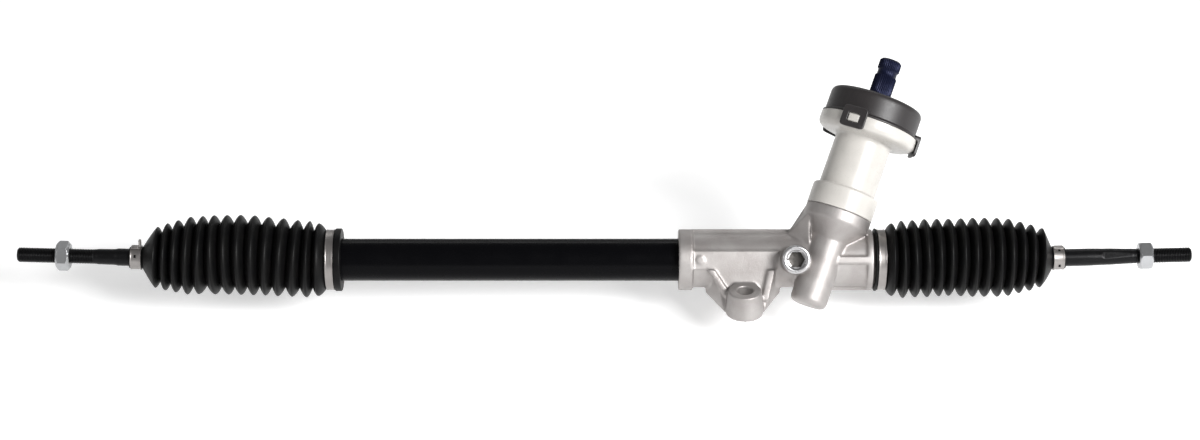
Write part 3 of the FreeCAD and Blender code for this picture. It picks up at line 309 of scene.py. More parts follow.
def zinc_with_painted_socket_shade():
    """Zinc plate with painted shade: its colour darkens down inside the screw plug's socket."""
    colour, shade = (0.5, 0.495, 0.5), (0.09, 0.085, 0.08)
    finish = Finish("zinc plate with painted socket shade", colour, 0.3, 1.0)
    offset = finish.node("ShaderNodeVectorMath", {"operation": "SUBTRACT"},
                         {0: finish.position, 1: tuple(PLUG.translation)})["Vector"]
    depth = finish.node("ShaderNodeVectorMath", {"operation": "DOT_PRODUCT"},
                        {0: offset, 1: tuple(PLUG.col[0][:3])})["Value"]
    reach = finish.node("ShaderNodeVectorMath", {"operation": "LENGTH"}, {0: offset})["Value"]
    off_axis = (reach * reach - depth * depth) ** 0.5
    # A mask of the socket's inside, where the base colour takes painted shade
    below_face = finish.range(depth, (PLUG_FACE - 1.1) * MM, (PLUG_FACE - 3.5) * MM)
    inside = below_face * finish.range(off_axis, (SOCKET_MOUTH_RADIUS + 0.2) * MM,
                                       (SOCKET_MOUTH_RADIUS - 0.2) * MM)
    marks = finish.noise(700, 2)
    finish.feed(Base_Color=finish.mix(inside, colour, shade),
                Roughness=finish.range(marks, 0.3, 0.7, 0.26, 0.36))
    finish.bump(marks, 0.00001, 0.4)
    return finish.material


def boot_rubber():
    finish = Finish("moulded rubber", (0.003, 0.003, 0.0035), 0.45, Specular_IOR_Level=0.12)
    dust = finish.range(finish.noise(90, 4), 0.4, 0.75)
    grain = finish.noise(1600, 2)
    finish.feed(Base_Color=finish.mix(dust, (0.002, 0.002, 0.0022), (0.0042, 0.004, 0.0038)),
                Roughness=finish.range(grain, 0.3, 0.7, 0.4, 0.52))
    finish.bump(grain, 0.00008, 0.5)
    return finish.material


def moulded_plastic(name, colour, roughness, grain_depth):
    finish = Finish(name, colour, roughness)
    clouds = finish.range(finish.noise(45, 3), 0.35, 0.65)
    darker = tuple(0.9 * part for part in colour)
    grain = finish.noise(1100, 2)
    finish.feed(Base_Color=finish.mix(clouds, darker, colour),
                Roughness=finish.range(grain, 0.3, 0.7, roughness - 0.05, roughness + 0.08))
    finish.bump(grain, grain_depth, 0.5)
    return finish.material


def floor_paper():
    finish = Finish("pale studio floor", (0.95, 0.95, 0.95), 0.8, Emission_Color=(1, 1, 1, 1),
                    Emission_Strength=0.32)
    finish.bump(finish.noise(60, 2), 0.0002, 0.2)
    return finish.material


FINISHES = {
    "cast_aluminium": cast_aluminium(),
    "black_paint": tube_paint(),
    "black_steel": oxide_steel("black oxide steel", (0.004, 0.004, 0.0045), 0.34, 0.4),
    "blue_black_steel": oxide_steel("phosphated steel", (0.004, 0.006, 0.022), 0.36, 0.5),
    "steel": plated_steel("ground steel", (0.6, 0.6, 0.62), 0.26),
    "bearing_steel": plated_steel("bearing steel", (0.75, 0.75, 0.77), 0.14),
    "zinc": plated_steel("zinc plate", (0.41, 0.415, 0.425), 0.32),
    "stainless": plated_steel("stainless band", (0.31, 0.292, 0.283), 0.38),
    "rubber": boot_rubber(),
    "white_plastic": moulded_plastic("white plastic", (0.47, 0.452, 0.425), 0.3, 0.000006),
    "grey_plastic": moulded_plastic("warm grey plastic", (0.014, 0.0115, 0.012), 0.45, 0.00004),
    "bearing_plastic": moulded_plastic("bearing plastic", (0.7, 0.68, 0.6), 0.4, 0.00003),
}


# Meshes
def keep(name, mesh, body, slot, *nodes):
    """Put a finished mesh in the scene as a piece of one body, in place of CAD nodes."""
    piece = bpy.data.objects.new(name, mesh)
    bpy.context.scene.collection.objects.link(piece)
    mesh.materials.clear()
    mesh.materials.append(FINISHES[slot])
    if nodes:
        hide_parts(*nodes)
    if body:
        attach(piece, body)
    return piece


def finished(form, name, place, sharp=38):
    """The mesh of a bmesh form, set in its place and smooth but for its sharp edges."""
    bmesh.ops.remove_doubles(form, verts=form.verts, dist=0.002 * MM)
    bmesh.ops.recalc_face_normals(form, faces=form.faces)
    form.transform(place)
    mesh = bpy.data.meshes.new(name)
    form.to_mesh(mesh)
    form.free()
    mesh.shade_smooth()
    mesh.set_sharp_from_angle(angle=math.radians(sharp))
    return mesh


def add_skin(form, rings, loop=False):
    """Faces through rings of points; a ring of one point closes an end."""
    made = [[form.verts.new(point) for point in ring] for ring in rings]
    pairs = list(zip(made, made[1:] + made[:1])) if loop else list(zip(made, made[1:]))
    for first, second in pairs:
        for k in range(max(len(first), len(second))):
            corners = [first[k % len(first)], first[(k + 1) % len(first)],
                       second[(k + 1) % len(second)], second[k % len(second)]]
            corners = list(dict.fromkeys(corners))
            if len(corners) > 2:
                form.faces.new(corners)


def circle(along, radius, segments):
    """A ring about the X axis; radius may be a function of the angle. A radius of zero is one point."""
    if not callable(radius) and radius <= 0:
        return [Vector((along, 0, 0))]
    ring = []
    for k in range(segments):
        angle = math.tau * k / segments
        reach = radius(angle) if callable(radius) else radius
        ring.append(Vector((along, reach * math.cos(angle), reach * math.sin(angle))))
    return ring


def softened(points, radius, loop=True, steps=4):
    """An outline with each corner rounded, by its own third number if it has one."""
    most = 0.48     # of a side, so that two corners never meet
    count = len(points)
    result = []
    for i, point in enumerate(points):
        corner = Vector(point[:2])
        if not loop and i in (0, count - 1):
            result.append(tuple(corner))
            continue
        reach = point[2] if len(point) > 2 else radius
        before = Vector(points[i - 1][:2]) - corner
        after = Vector(points[(i + 1) % count][:2]) - corner
        back = before.normalized() * min(reach, before.length * most)
        ahead = after.normalized() * min(reach, after.length * most)
        if reach <= 0:
            result.append(tuple(corner))
            continue
        for step in range(steps + 1):
            t = step / steps
            result.append(tuple(corner + back * (1 - t) ** 2 + ahead * t ** 2))
    return result


def absorb(form, other, place):
    """Set one bmesh form in its place and take it into another."""
    other.transform(place)
    mesh = bpy.data.meshes.new("absorbed")
    other.to_mesh(mesh)
    other.free()
    form.from_mesh(mesh)


def bevelled_block(form, low, high, place, width, segments=3):
    """A box between two corners, with rounded edges."""
    made = bmesh.ops.create_cube(form, size=1)
    verts = made["verts"]
    size = Vector(high) - Vector(low)
    centre = (Vector(high) + Vector(low)) / 2
    bmesh.ops.transform(form, matrix=Matrix.Translation(centre) @ Matrix.Diagonal((*size, 1)), verts=verts)
    edges = list({edge for vert in verts for edge in vert.link_edges})
    bevelled = bmesh.ops.bevel(form, geom=edges, offset=width, segments=segments, affect="EDGES", profile=0.5)
    corners = set(verts) | set(bevelled["verts"])
    bmesh.ops.transform(form, matrix=place, verts=[vert for vert in corners if vert.is_valid])


def smooth_step(value):
    """Rise from 0 to 1 as value does, level at both ends."""
    value = min(max(value, 0), 1)
    return value * value * (3 - 2 * value)


def towards_camera(side):
    """The angle about a rod at which its skin faces the camera."""
    return math.atan2(-FORWARD.z, -FORWARD.y * OUTWARD[side])


# Screw plug: places along its axis from the bar's centre, and radii
PLUG_END = 19.0
PLUG_SEAT = 39.0
PLUG_FACE = 48.0
PLUG_STEM_RADIUS = 8.9
PLUG_HEAD_RADIUS = 13.4
PLUG_RIM_RADIUS = 9.7
SOCKET_MOUTH_RADIUS = 8.5
SOCKET_FLATS = 14.0
SOCKET_BOTTOM = PLUG_FACE - 8.4


def screw_plug():
    """The domed screw plug in the housing's front, with its hexagon socket."""
    outline = softened([(PLUG_END, PLUG_STEM_RADIUS, 0.8), (PLUG_SEAT, PLUG_STEM_RADIUS, 0),
                        (PLUG_SEAT, PLUG_HEAD_RADIUS, 0.3), (PLUG_FACE, PLUG_HEAD_RADIUS, 2.6),
                        (PLUG_FACE, PLUG_RIM_RADIUS, 1.1), (PLUG_FACE - 1.5, SOCKET_MOUTH_RADIUS, 0)],
                       0, False)
    rings = [[Vector((PLUG_END * MM, 0, 0))]]
    rings += [circle(along * MM, reach * MM, 96) for along, reach in outline]

    def hexagon(angle):
        return SOCKET_FLATS / 2 / math.cos(angle % (math.pi / 3) - math.pi / 6) * MM

    rings += [circle((PLUG_FACE - depth) * MM, hexagon, 96) for depth in (1.8, 2.6, 5.0, 7.6)]
    rings.append([Vector((SOCKET_BOTTOM * MM, 0, 0))])
    form = bmesh.new()
    add_skin(form, rings)
    mesh = finished(form, "screw_plug", PLUG, 32)
    keep("screw_plug", mesh, "housing", "zinc", "port_plug")
    # The plug's finish paints shade inside its socket
    mesh.materials[0] = zinc_with_painted_socket_shade()


# Casting
VOXEL = 1.0 * MM
# A ring inside the tower's neck, where the wall is thinner than a voxel: (along the tower, radius)
NECK_RING = ((13.0, 15.2), (13.0, 17.2), (23.0, 17.2), (23.0, 15.2))
# The cheek that fills the corner between tower, web and barrel: (along, across, to the back) of the tower
CHEEK_CORNERS = ((42.0, -30.5, 4.0), (10.0, -39.3, 4.5), (36.0, -27.4, -14.5), (4.0, -15.5, -8.0),
                 (38.0, -20.0, 10.0), (10.0, -36.0, 10.0), (0.0, -14.0, 4.0), (2.0, -36.0, 8.0))


def cast_housing():
    """The solid's own faces, remeshed so that its edges get a foundry's fillets."""
    form = bmesh.new()
    form.from_mesh(frame["nodes"]["gear_housing"].data)
    neck = bmesh.new()
    add_skin(neck, [circle(along * MM, reach * MM, 96) for along, reach in NECK_RING], True)
    absorb(form, neck, TOWER)
    cheek = bmesh.new()
    for corner in CHEEK_CORNERS:
        cheek.verts.new(Vector(corner) * MM)
    bmesh.ops.convex_hull(cheek, input=cheek.verts)
    absorb(form, cheek, TOWER)
    rough_mesh = bpy.data.meshes.new("rough_casting")
    form.to_mesh(rough_mesh)
    form.free()
    rough = bpy.data.objects.new("rough_casting", rough_mesh)
    bpy.context.scene.collection.objects.link(rough)
    remesh = rough.modifiers.new("remesh", "REMESH")
    remesh.mode = "VOXEL"
    remesh.voxel_size = VOXEL
    remesh.use_smooth_shade = True
    fillets = rough.modifiers.new("fillets", "SMOOTH")
    fillets.factor = 0.5
    fillets.iterations = 8
    fewer_faces = rough.modifiers.new("fewer faces", "DECIMATE")
    fewer_faces.ratio = 0.4
    evaluated = rough.evaluated_get(bpy.context.evaluated_depsgraph_get())
    mesh = bpy.data.meshes.new_from_object(evaluated)
    mesh.name = "cast_housing"
    bpy.data.objects.remove(rough)
    mesh.shade_smooth()
    keep("cast_housing", mesh, "housing", "cast_aluminium", "gear_housing")


# Boots: places along the bar and radii, in millimetres. Each fold has a crest, a lean and a radius. The
# centre line rises over a first share of the boot's length and falls from a later one.
BOOTS = {
    "left": {
        "lip": -378.4, "cuff": -384.7, "first": -393.2, "small_end": -566.5, "tip": -579.0, "grip": 20.3,
        "crests": (-400.8, -410.4, -422.9, -436.4, -449.1, -461.3, -473.7,
                   -486.0, -498.4, -511.6, -522.7, -534.2, -544.3, -553.7),
        "leans": (0.01, 0.05, 0.09, 0.09, 0.05, 0.02, -0.01, -0.025, -0.02, 0.06, 0.045, 0.035, 0.04, 0.045),
        "radii": (34.4, 36.2, 36.4, 37.0, 37.2, 37.8, 37.8, 37.6, 37.4, 37.0, 36.8, 34.2, 31.8, 28.9),
        "rise": 5.4, "rise_share": 0.5, "fall": 3.0, "fall_start": 0.6,
    },
    "right": {
        "lip": 123.2, "cuff": 125.5, "first": 134.0, "small_end": 291.5, "tip": 304.0, "grip": 24.3,
        "crests": (140.3, 150.1, 161.2, 172.5, 184.0, 193.9, 205.7,
                   216.8, 227.9, 239.7, 250.4, 261.1, 271.1, 281.2),
        "leans": (0.0, -0.023, -0.042, -0.042, -0.032, 0.0, 0.0,
                  0.006, 0.006, -0.006, 0.006, 0.025, 0.026, 0.055),
        "radii": (34.4, 36.6, 36.6, 37.0, 36.7, 36.5, 36.9, 37.4, 37.4, 37.3, 36.5, 33.9, 31.4, 28.1),
        "rise": 2.7, "rise_share": 0.4, "fall": 0.6, "fall_start": 0.7,
    },
}
CUFF_RADIUS = 27.2
LIP_RADIUS = 29.7
SMALL_CUFF_RADIUS = 10.1
SMALL_BORE_RADIUS = 8.6
FOLD_DEPTH = 9.0
BOOT_WALL = 1.6
# The boot is cut into bellows and nose at this valley
SPLIT_VALLEY = 9
# A fold's flank goes down by this power of its share, in so many steps
FLANK_POWER = 1.7
FLANK_STEPS = 12
# The cone after the last fold
CONE_SHARES = (0.06, 0.16, 0.3, 0.46, 0.62, 0.78, 0.9, 1.0)
CONE_POWER = 1.15


def outward_of(boot):
    """The way along X from the boot's large end to its small one."""
    return 1 if boot["small_end"] > boot["first"] else -1


def boot_lift(boot, along):
    """How far the boot's centre line stands above the bar at one X."""
    share = (along - boot["first"]) / (boot["small_end"] - boot["first"])
    return boot["rise"] * smooth_step(share / boot["rise_share"]) - boot["fall"] * smooth_step(
        (share - boot["fall_start"]) / (1 - boot["fall_start"]))


def boot_lean(boot, along):
    """How far the folds lean at one X: square at the large cuff, square to the tie rod at the small one."""
    rod_lean = -outward_of(boot) * math.tan(ROD_LIFT)
    line = [(boot["first"], 0.0), *zip(boot["crests"], boot["leans"]), (boot["small_end"], rod_lean)]
    for (x0, lean0), (x1, lean1) in zip(line, line[1:]):
        if min(x0, x1) <= along <= max(x0, x1):
            return lean0 + (lean1 - lean0) * (along - x0) / (x1 - x0)
    return 0.0 if abs(along - boot["first"]) < abs(along - boot["small_end"]) else rod_lean


def boot_ring(boot, along, radius, segments):
    """A ring of the boot, set on its bent centre line and leaning as the folds do."""
    centre = Vector((along, 0, boot_lift(boot, along)))
    sideways = Vector((0, 1, 0))
    over = Vector((boot_lean(boot, along), 0, 1)).normalized()
    return [(centre + radius * (math.cos(math.tau * k / segments) * sideways
                                + math.sin(math.tau * k / segments) * over)) * MM for k in range(segments)]


def boot_outline(boot):
    """The boot's outer line as (along, radius), and where each valley lies in it."""
    crests, radii = boot["crests"], boot["radii"]
    line = softened([(boot["lip"], boot["grip"], 0), (boot["lip"], LIP_RADIUS, 1.2),
                     (boot["cuff"], LIP_RADIUS, 1.2), (boot["cuff"], CUFF_RADIUS, 0.5),
                     (boot["first"], CUFF_RADIUS)], 0, False)
    valleys = []
    start, bottom = boot["first"], CUFF_RADIUS
    for index, (crest, radius) in enumerate(zip(crests, radii)):
        for step in range(1, FLANK_STEPS + 1):
            share = 1 - step / FLANK_STEPS
            line.append((crest + (start - crest) * share,
                         radius + (bottom - radius) * share ** FLANK_POWER))
        if index == len(crests) - 1:
            break
        end = (crest + crests[index + 1]) / 2
        end_bottom = (radius + radii[index + 1]) / 2 - FOLD_DEPTH
        for step in range(1, FLANK_STEPS + 1):
            share = step / FLANK_STEPS
            line.append((crest + (end - crest) * share,
                         radius + (end_bottom - radius) * share ** FLANK_POWER))
        valleys.append(len(line) - 1)
        start, bottom = end, end_bottom
    for share in CONE_SHARES:
        line.append((crests[-1] + (boot["small_end"] - crests[-1]) * share,
                     radii[-1] + (SMALL_CUFF_RADIUS - radii[-1]) * share ** CONE_POWER))
    line += softened([line[-1], (boot["tip"], SMALL_CUFF_RADIUS, 0.6), (boot["tip"], SMALL_BORE_RADIUS)],
                     0.6, False)[1:]
    return line, valleys


def nose_inside(outer):
    """The nose's inner line: its outer one set in by the wall, no narrower than the small bore."""
    return [(along, max(radius - BOOT_WALL, SMALL_BORE_RADIUS)) for along, radius in outer]


def bellows_inside(outer, boot):
    """Inside of the large cuff, which grips its seat, and of the folds after it."""
    grip = boot["grip"]
    first, direction = boot["first"], outward_of(boot)
    return [(along, grip if (along - first) * direction <= 0 else max(radius - BOOT_WALL, grip))
            for along, radius in outer]


def boot_pieces(side):
    """The boot in two pieces: the bellows, between housing and bar, and the nose, out to the tie rod."""
    boot = BOOTS[side]
    segments = 88
    line, valleys = boot_outline(boot)
    split = valleys[SPLIT_VALLEY]
    split_x = line[split][0]
    place = Matrix.Translation((0, BAR_Y, BAR_Z))
    bellows, nose = line[:split + 1], line[split:]
    for part, outer, inside, bodies, start, end in (
            ("bellows", bellows, bellows_inside(bellows, boot), ("housing", "rack"), boot["first"], split_x),
            ("nose", nose, nose_inside(nose), ("rack", side + "_tie_rod"), split_x, boot["small_end"])):
        form = bmesh.new()
        rings = [boot_ring(boot, along, radius, segments) for along, radius in outer + inside[::-1]]
        add_skin(form, rings, True)
        mesh = finished(form, side + "_boot_" + part, place, 50)
        piece = keep(side + "_boot_" + part, mesh, None, "rubber", side + "_boot")
        start * MM
        end * MM
        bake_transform(piece)


# Bands round the boots
BAND_CLEARANCE = 0.15
LARGE_BAND_THICKNESS = 1.2
LARGE_BAND_EDGE = 0.7
SMALL_BAND_RADIUS = SMALL_CUFF_RADIUS + BAND_CLEARANCE + 0.8
SMALL_BAND_WIDTH = 10.2
# The ear stands below level at the back
EAR_TURN = math.radians(-30)
EAR_HEIGHT = 3.2
TANG_HEIGHTS = {"left": 8.0, "right": 1.4}
SLOT_TURNS = {"left": (0.1,), "right": (-0.75, 0.75)}


def large_band(side):
    """A band with raised edges and, at the lower back, the crimped ear that draws it tight."""
    low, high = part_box(side + "_large_clamp")
    start, end = low.x / MM, high.x / MM
    inner = CUFF_RADIUS + BAND_CLEARANCE
    outer = inner + LARGE_BAND_THICKNESS
    rim = outer + 0.25
    edge = LARGE_BAND_EDGE
    outline = [(start, inner), (start, rim), (start + edge, rim), (start + 2 * edge, outer),
               (end - 2 * edge, outer), (end - edge, rim), (end, rim), (end, inner)]
    form = bmesh.new()
    rings = [circle(along * MM, reach * MM, 128) for along, reach in softened(outline, 0.3)]
    add_skin(form, rings, True)
    ear_turn = Matrix.Rotation(EAR_TURN, 4, "X")
    middle = (start + end) / 2 * MM
    half = (end - start) / 2 * MM - 0.4 * MM
    for offset in (-2.6, 2.6):
        bevelled_block(form, (middle - half, (outer - 0.3) * MM, (offset - 0.6) * MM),
                       (middle + half, (outer + EAR_HEIGHT - 0.2) * MM, (offset + 0.6) * MM),
                       ear_turn, 0.25 * MM)
    bevelled_block(form, (middle - half, (outer + EAR_HEIGHT - 1.0) * MM, -3.0 * MM),
                   (middle + half, (outer + EAR_HEIGHT) * MM, 3.0 * MM), ear_turn, 0.35 * MM)
    mesh = finished(form, side + "_large_band", BAR)
    keep(side + "_large_band", mesh, "housing", "stainless", side + "_large_clamp")


def small_band_start(side):
    """Where the small band begins along the tie rod, just past the boot's end."""
    return abs(BOOTS[side]["small_end"] * MM - BALLS[side].x) / MM + 0.9


def small_band(side):
    """A sprung band with rolled edges and a tang that stands up beside the boot."""
    start = small_band_start(side)
    end = start + SMALL_BAND_WIDTH
    inner = SMALL_CUFF_RADIUS + BAND_CLEARANCE
    outer = SMALL_BAND_RADIUS
    form = bmesh.new()
    outline = [(start, inner), (start, outer + 0.5), (start + 1.0, outer + 0.5), (start + 1.6, outer),
               (end - 1.2, outer), (end - 0.8, outer + 0.25), (end, outer + 0.25), (end, inner)]
    rings = [circle(along * MM, reach * MM, 96) for along, reach in softened(outline, 0.25)]
    add_skin(form, rings, True)
    up = Matrix.Rotation(math.radians(90), 4, "X")
    bevelled_block(form, ((start + 0.1) * MM, outer * MM, -1.9 * MM),
                   ((start + 2.4) * MM, (outer + TANG_HEIGHTS[side]) * MM, 2.2 * MM), up, 0.4 * MM)
    bevelled_block(form, ((start + 1.2) * MM, (outer - 0.2) * MM, -3.2 * MM),
                   ((end - 1.0) * MM, (outer + 0.9) * MM, 3.2 * MM), up, 0.35 * MM)
    mesh = finished(form, side + "_small_band", RODS[side])
    keep(side + "_small_band", mesh, side + "_tie_rod", "stainless", side + "_small_clamp")


def band_slots(side):
    """Rubber that shows through the small band's slots."""
    start, outer = small_band_start(side), SMALL_BAND_RADIUS
    form = bmesh.new()
    for turn in SLOT_TURNS[side]:
        bevelled_block(form, ((start + 4.2) * MM, (outer - 0.4) * MM, -1.5 * MM),
                       ((start + 6.6) * MM, (outer + 0.12) * MM, 1.5 * MM),
                       Matrix.Rotation(towards_camera(side) + turn, 4, "X"), 0.5 * MM)
    keep(side + "_band_slots", finished(form, side + "_band_slots", RODS[side]), side + "_tie_rod", "rubber")


# Tie rods and jam nuts: places along the rod from its ball's centre, and radii
ROD_LINES = {
    "left": [(34.0, 6.3), (46.0, 8.2), (104.0, 8.2), (109.0, 7.5), (123.0, 7.35), (126.0, 6.9)],
    "right": [(34.0, 6.3), (46.0, 8.2), (100.0, 8.2), (120.0, 7.8), (143.0, 7.1), (146.0, 6.9)],
}
# The wrench flats' start, end and half width
WRENCH_FLATS = {"left": None, "right": (116.5, 141.5, 6.95)}
FLATS_RUN_OUT = 1.5
FLATS_TURN = math.radians(14)
THREAD_PITCH = 1.5
THREAD_RADIUS = 7.0
THREAD_DEPTH = 0.7
THREAD_STEPS_PER_TURN = 6
ROD_TIP = 199.5
TIP_CHAMFER = 1.6
BALL_RADIUS = 11.0
NUT_START = 149.9
NUT_THICKNESS = 12.8
NUT_FLATS = 24.6
NUT_BORE_RADIUS = 7.05
NUT_TURNS = {"left": 0.0, "right": math.pi / 6}


def rod_radius(line, along):
    """The rod's radius at one place, with soft steps between the line's points."""
    for (x0, r0), (x1, r1) in zip(line, line[1:]):
        if x0 <= along <= x1:
            return r0 + (r1 - r0) * smooth_step((along - x0) / (x1 - x0))
    return line[-1][1]


def flatted(base, reach, facing):
    """The radius, by the angle, of a round rod with flats at this reach on two sides."""
    def radius(angle):
        across = abs(math.cos(angle - facing))
        return min(base, reach / across if across > 0.01 else base) * MM
    return radius


def threaded(along, thread_start):
    """The radius, by the angle, of the thread at one place along the rod."""
    fade = smooth_step((along - thread_start) / (2 * THREAD_PITCH))
    chamfer = max(0, along - (ROD_TIP - TIP_CHAMFER))

    def radius(angle):
        phase = (along / THREAD_PITCH - angle / math.tau) % 1
        # Flat crests and roots, with slopes between them
        groove = min(1, max(0, 3.2 * abs(phase - 0.5) - 0.5))
        depth = fade * THREAD_DEPTH * groove if chamfer < TIP_CHAMFER / 2 else 0
        return (THREAD_RADIUS - chamfer - depth) * MM
    return radius


def tie_rod(side):
    """Ball, neck, shank with its wrench flats, and thread, in one skin."""
    segments = 64
    line = ROD_LINES[side]
    flats = WRENCH_FLATS[side]
    facing = towards_camera(side) - OUTWARD[side] * FLATS_TURN
    rings = [[Vector((-BALL_RADIUS * MM, 0, 0))]]
    ball_rings = 21
    neck_start = math.sqrt(BALL_RADIUS ** 2 - line[0][1] ** 2)
    for step in range(1, ball_rings + 1):
        along = -BALL_RADIUS + (BALL_RADIUS + neck_start) * step / ball_rings
        rings.append(circle(along * MM, math.sqrt(BALL_RADIUS ** 2 - along ** 2) * MM, segments))
    neck, thread_start = line[0][0], line[-1][0]
    along = 0.6 * neck
    while along < thread_start:
        base = rod_radius(line, max(along, neck))
        radius = base * MM
        if flats and flats[0] - FLATS_RUN_OUT <= along <= flats[1] + FLATS_RUN_OUT:
            share = (smooth_step((along - flats[0] + FLATS_RUN_OUT) / FLATS_RUN_OUT)
                     * smooth_step((flats[1] + FLATS_RUN_OUT - along) / FLATS_RUN_OUT))
            radius = flatted(base, base + (flats[2] - base) * share, facing)
        rings.append(circle(along * MM, radius, segments))
        along += 1.0
    steps = int((ROD_TIP - thread_start) / THREAD_PITCH * THREAD_STEPS_PER_TURN)
    for step in range(steps + 1):
        along = thread_start + (ROD_TIP - thread_start) * step / steps
        rings.append(circle(along * MM, threaded(along, thread_start), segments))
    rings.append([Vector((ROD_TIP * MM, 0, 0))])
    form = bmesh.new()
    add_skin(form, rings)
    mesh = finished(form, side + "_rod", RODS[side], 45)
    keep(side + "_rod", mesh, side + "_tie_rod", "black_steel", side + "_tie_rod")


def jam_nut(side):
    """A hexagon nut whose corners are turned off at both ends, with its bore countersunk."""
    segments = 96
    countersink = 0.9
    half_flats = NUT_FLATS / 2
    face = 0.92 * half_flats
    slope = math.tan(math.radians(42))
    chamfer = (NUT_FLATS / math.sqrt(3) - face) * slope

    def skin_radius(height):
        allowed = face + min(height, NUT_THICKNESS - height) / slope

        def radius(angle):
            turned = (angle - NUT_TURNS[side] + math.pi / 6) % (math.pi / 3) - math.pi / 6
            return min(half_flats / math.cos(math.pi / 6 - abs(turned)), allowed) * MM
        return radius

    heights = [chamfer * k / 6 for k in range(7)]
    heights += [NUT_THICKNESS - height for height in reversed(heights)]
    rings = [circle((NUT_START + height) * MM, skin_radius(height), segments) for height in heights]
    for height, reach in ((NUT_THICKNESS, NUT_BORE_RADIUS + countersink),
                          (NUT_THICKNESS - countersink, NUT_BORE_RADIUS),
                          (countersink, NUT_BORE_RADIUS), (0, NUT_BORE_RADIUS + countersink)):
        rings.append(circle((NUT_START + height) * MM, reach * MM, segments))
    form = bmesh.new()
    add_skin(form, rings, True)
    mesh = finished(form, side + "_nut", RODS[side], 28)
    keep(side + "_nut", mesh, side + "_tie_rod", "zinc", side + "_jam_nut")


# Dust cover: places along the tower's axis, and radii
COVER_BASE = 46.0
COVER_SEAM = 133.0
CLIP_ANGLES = (-112.0, 8.0, 128.0)
CLIP_LOW, CLIP_HIGH, CLIP_HALF_WIDTH = 119.0, 139.0, 12.0
CLIP_INSIDE, CLIP_OUTSIDE, CLIP_EDGE = 46.9, 49.2, 0.5
WINDOW_LOW, WINDOW_HIGH, WINDOW_HALF_WIDTH = 124.0, 132.8, 6.0
CAP_RADIUS = 44.4
FLANGE_RADIUS = 46.6


def dust_cover_tube():
    """White tube with its collar, its flange and the catches that the cap's clips go over."""
    inner, tube, collar, flange = 24.2, 26.7, 31.7, FLANGE_RADIUS
    outline = [(COVER_BASE, inner, 0.4), (COVER_BASE, collar, 0.6), (66.6, collar, 1.6),
               (68.0, tube + 0.4, 1.0), (116.0, tube, 2.5), (118.0, tube + 1.6, 2.0),
               (119.2, flange - 6, 3.5), (121.5, flange - 1.2, 3.0), (125.0, flange, 1.5),
               (COVER_SEAM, flange, 0.6),
               (COVER_SEAM, flange - 2.5, 0.4), (126.0, flange - 2.5, 2.0), (123.0, flange - 8, 2.0),
               (121.5, inner, 0.8)]
    form = bmesh.new()
    rings = [circle(along * MM, reach * MM, 128) for along, reach in softened(outline, 0.6)]
    add_skin(form, rings, True)
    for angle in CLIP_ANGLES:
        bevelled_block(form, (124.6 * MM, (flange - 1) * MM, -5.2 * MM),
                       (131.6 * MM, (flange + 1.9) * MM, 5.2 * MM),
                       Matrix.Rotation(math.radians(angle), 4, "X"), 0.5 * MM)
    mesh = finished(form, "cover_sleeve", TOWER)
    keep("cover_sleeve", mesh, "housing", "white_plastic", "dust_cover_tube")


def clip_ring(inset, height, window):
    """A soft-cornered rectangle round the clip's window or the clip itself, at one height or at its root."""
    middle = (WINDOW_LOW + WINDOW_HIGH) / 2
    points, squareness = 64, 8
    ring = []
    for k in range(points):
        angle = math.tau * k / points
        rise, side = math.cos(angle), math.sin(angle)
        if window:
            reach, width = (WINDOW_HIGH - WINDOW_LOW) / 2 + inset, WINDOW_HALF_WIDTH + inset
        else:
            reach = (CLIP_HIGH - middle if rise > 0 else middle - CLIP_LOW) - inset
            width = CLIP_HALF_WIDTH - inset
        scale = (abs(rise / reach) ** squareness + abs(side / width) ** squareness) ** (-1 / squareness)
        along = middle + rise * scale
        level = height
        if height is None:
            level = CAP_RADIUS - 1 if along > COVER_SEAM + 1 else CLIP_INSIDE
        ring.append(Vector((along, level, side * scale)) * MM)
    return ring


def dust_cover_cap():
    """Grey cap with its rolled rim and three sprung clips."""
    cap, wall, top, hole, rim = CAP_RADIUS, 2.5, 159.0, 11.5, 46.4
    outline = [(top - wall, hole, 0.5), (top - wall, cap - wall, 4.0), (COVER_SEAM + 1.5, cap - wall, 0.5),
               (COVER_SEAM + 0.1, cap - wall + 0.4, 0.2), (COVER_SEAM + 0.1, rim, 0.7),
               (COVER_SEAM + 1.9, rim, 0.9), (COVER_SEAM + 2.8, cap, 1.2), (top, cap, 6.5),
               (top, hole, 0.8)]
    form = bmesh.new()
    rings = [circle(along * MM, reach * MM, 128) for along, reach in softened(outline, 0.6, steps=7)]
    add_skin(form, rings, True)
    shoulder = CLIP_OUTSIDE - CLIP_EDGE
    for angle in CLIP_ANGLES:
        clip = bmesh.new()
        add_skin(clip, [clip_ring(0, None, True), clip_ring(0, shoulder, True),
                        clip_ring(CLIP_EDGE, CLIP_OUTSIDE, True), clip_ring(CLIP_EDGE, CLIP_OUTSIDE, False),
                        clip_ring(0, shoulder, False), clip_ring(0, None, False)], True)
        absorb(form, clip, Matrix.Rotation(math.radians(angle), 4, "X"))
    mesh = finished(form, "cover_cap", TOWER)
    keep("cover_cap", mesh, "housing", "grey_plastic", "dust_cover_cap")


# Steering shaft: places along the tower's axis, and radii
SHAFT_CUT = 105.0
SHAFT_RADIUS = 10.1
SHAFT_TIP = 198.9
SHAFT_TIP_RADIUS = 8.5
GROOVE_RADIUS = 9.3
SERRATED_RADIUS = 10.5
SERRATION_DEPTH = 0.75
SERRATIONS = 36


def serrated(depth, outer):
    """The radius, by the angle, of a shaft with serrations of this depth."""
    def radius(angle):
        return (outer - depth * (0.5 - 0.5 * math.cos(SERRATIONS * angle)) ** 0.7) * MM
    return radius


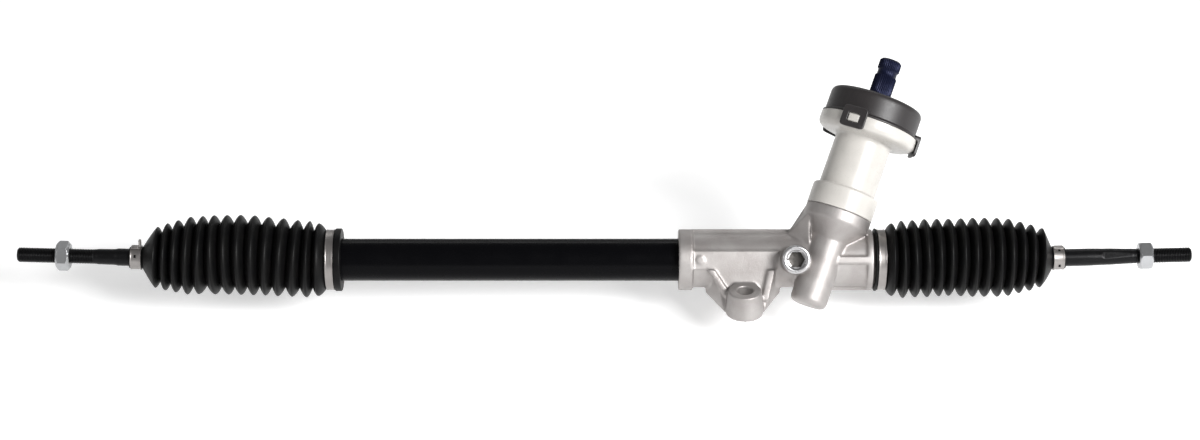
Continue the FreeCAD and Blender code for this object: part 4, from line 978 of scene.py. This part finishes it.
def steering_shaft():
    """The solid's toothed lower half, and an upper half with serrations for the column's joint."""
    form = bmesh.new()
    form.from_mesh(frame["nodes"]["pinion_shaft"].data)
    form.transform(TOWER.inverted())
    bmesh.ops.remove_doubles(form, verts=form.verts, dist=0.005 * MM)
    cut_at = SHAFT_CUT * MM
    bmesh.ops.bisect_plane(form, geom=form.verts[:] + form.edges[:] + form.faces[:], plane_co=(cut_at, 0, 0),
                           plane_no=(1, 0, 0), clear_outer=True)
    loose = [edge for edge in form.edges if len(edge.link_faces) == 1]
    bmesh.ops.holes_fill(form, edges=loose)
    segments = 288
    rings = [[Vector((cut_at, 0, 0))]]
    for along, radius in (
            (SHAFT_CUT, SHAFT_RADIUS * MM), (162.0, SHAFT_RADIUS * MM),
            (163.0, SERRATED_RADIUS * MM), (165.0, serrated(0.35, SERRATED_RADIUS)),
            (168.0, serrated(SERRATION_DEPTH, SERRATED_RADIUS)),
            (182.0, serrated(SERRATION_DEPTH, SERRATED_RADIUS)),
            (183.0, GROOVE_RADIUS * MM), (188.0, GROOVE_RADIUS * MM),
            (189.0, serrated(SERRATION_DEPTH, SERRATED_RADIUS)),
            (197.0, serrated(SERRATION_DEPTH, SERRATED_RADIUS)), (SHAFT_TIP, SHAFT_TIP_RADIUS * MM)):
        rings.append(circle(along * MM, radius, segments))
    rings.append([Vector((SHAFT_TIP * MM, 0, 0))])
    add_skin(form, rings)
    mesh = finished(form, "steering_shaft", TOWER, 40)
    keep("steering_shaft", mesh, "pinion", "blue_black_steel", "pinion_shaft")


# CAD nodes
def dress_nodes():
    """Give every CAD node its finish."""
    slots = {part["node"]: part["material_slot"] for part in frame["record"]["subparts"]}
    for name, node in frame["nodes"].items():
        if not node.material_slots:
            raise RuntimeError(f"{name} has no material slot")
        for material_slot in node.material_slots:
            material_slot.link = "OBJECT"
            material_slot.material = FINISHES[slots[name]]


stage_camera()
studio_floor()
studio_sky()
studio_lights()
dress_nodes()
cast_housing()
screw_plug()
for side_name in ("left", "right"):
    boot_pieces(side_name)
    large_band(side_name)
    small_band(side_name)
    band_slots(side_name)
    tie_rod(side_name)
    jam_nut(side_name)
dust_cover_tube()
dust_cover_cap()
steering_shaft()
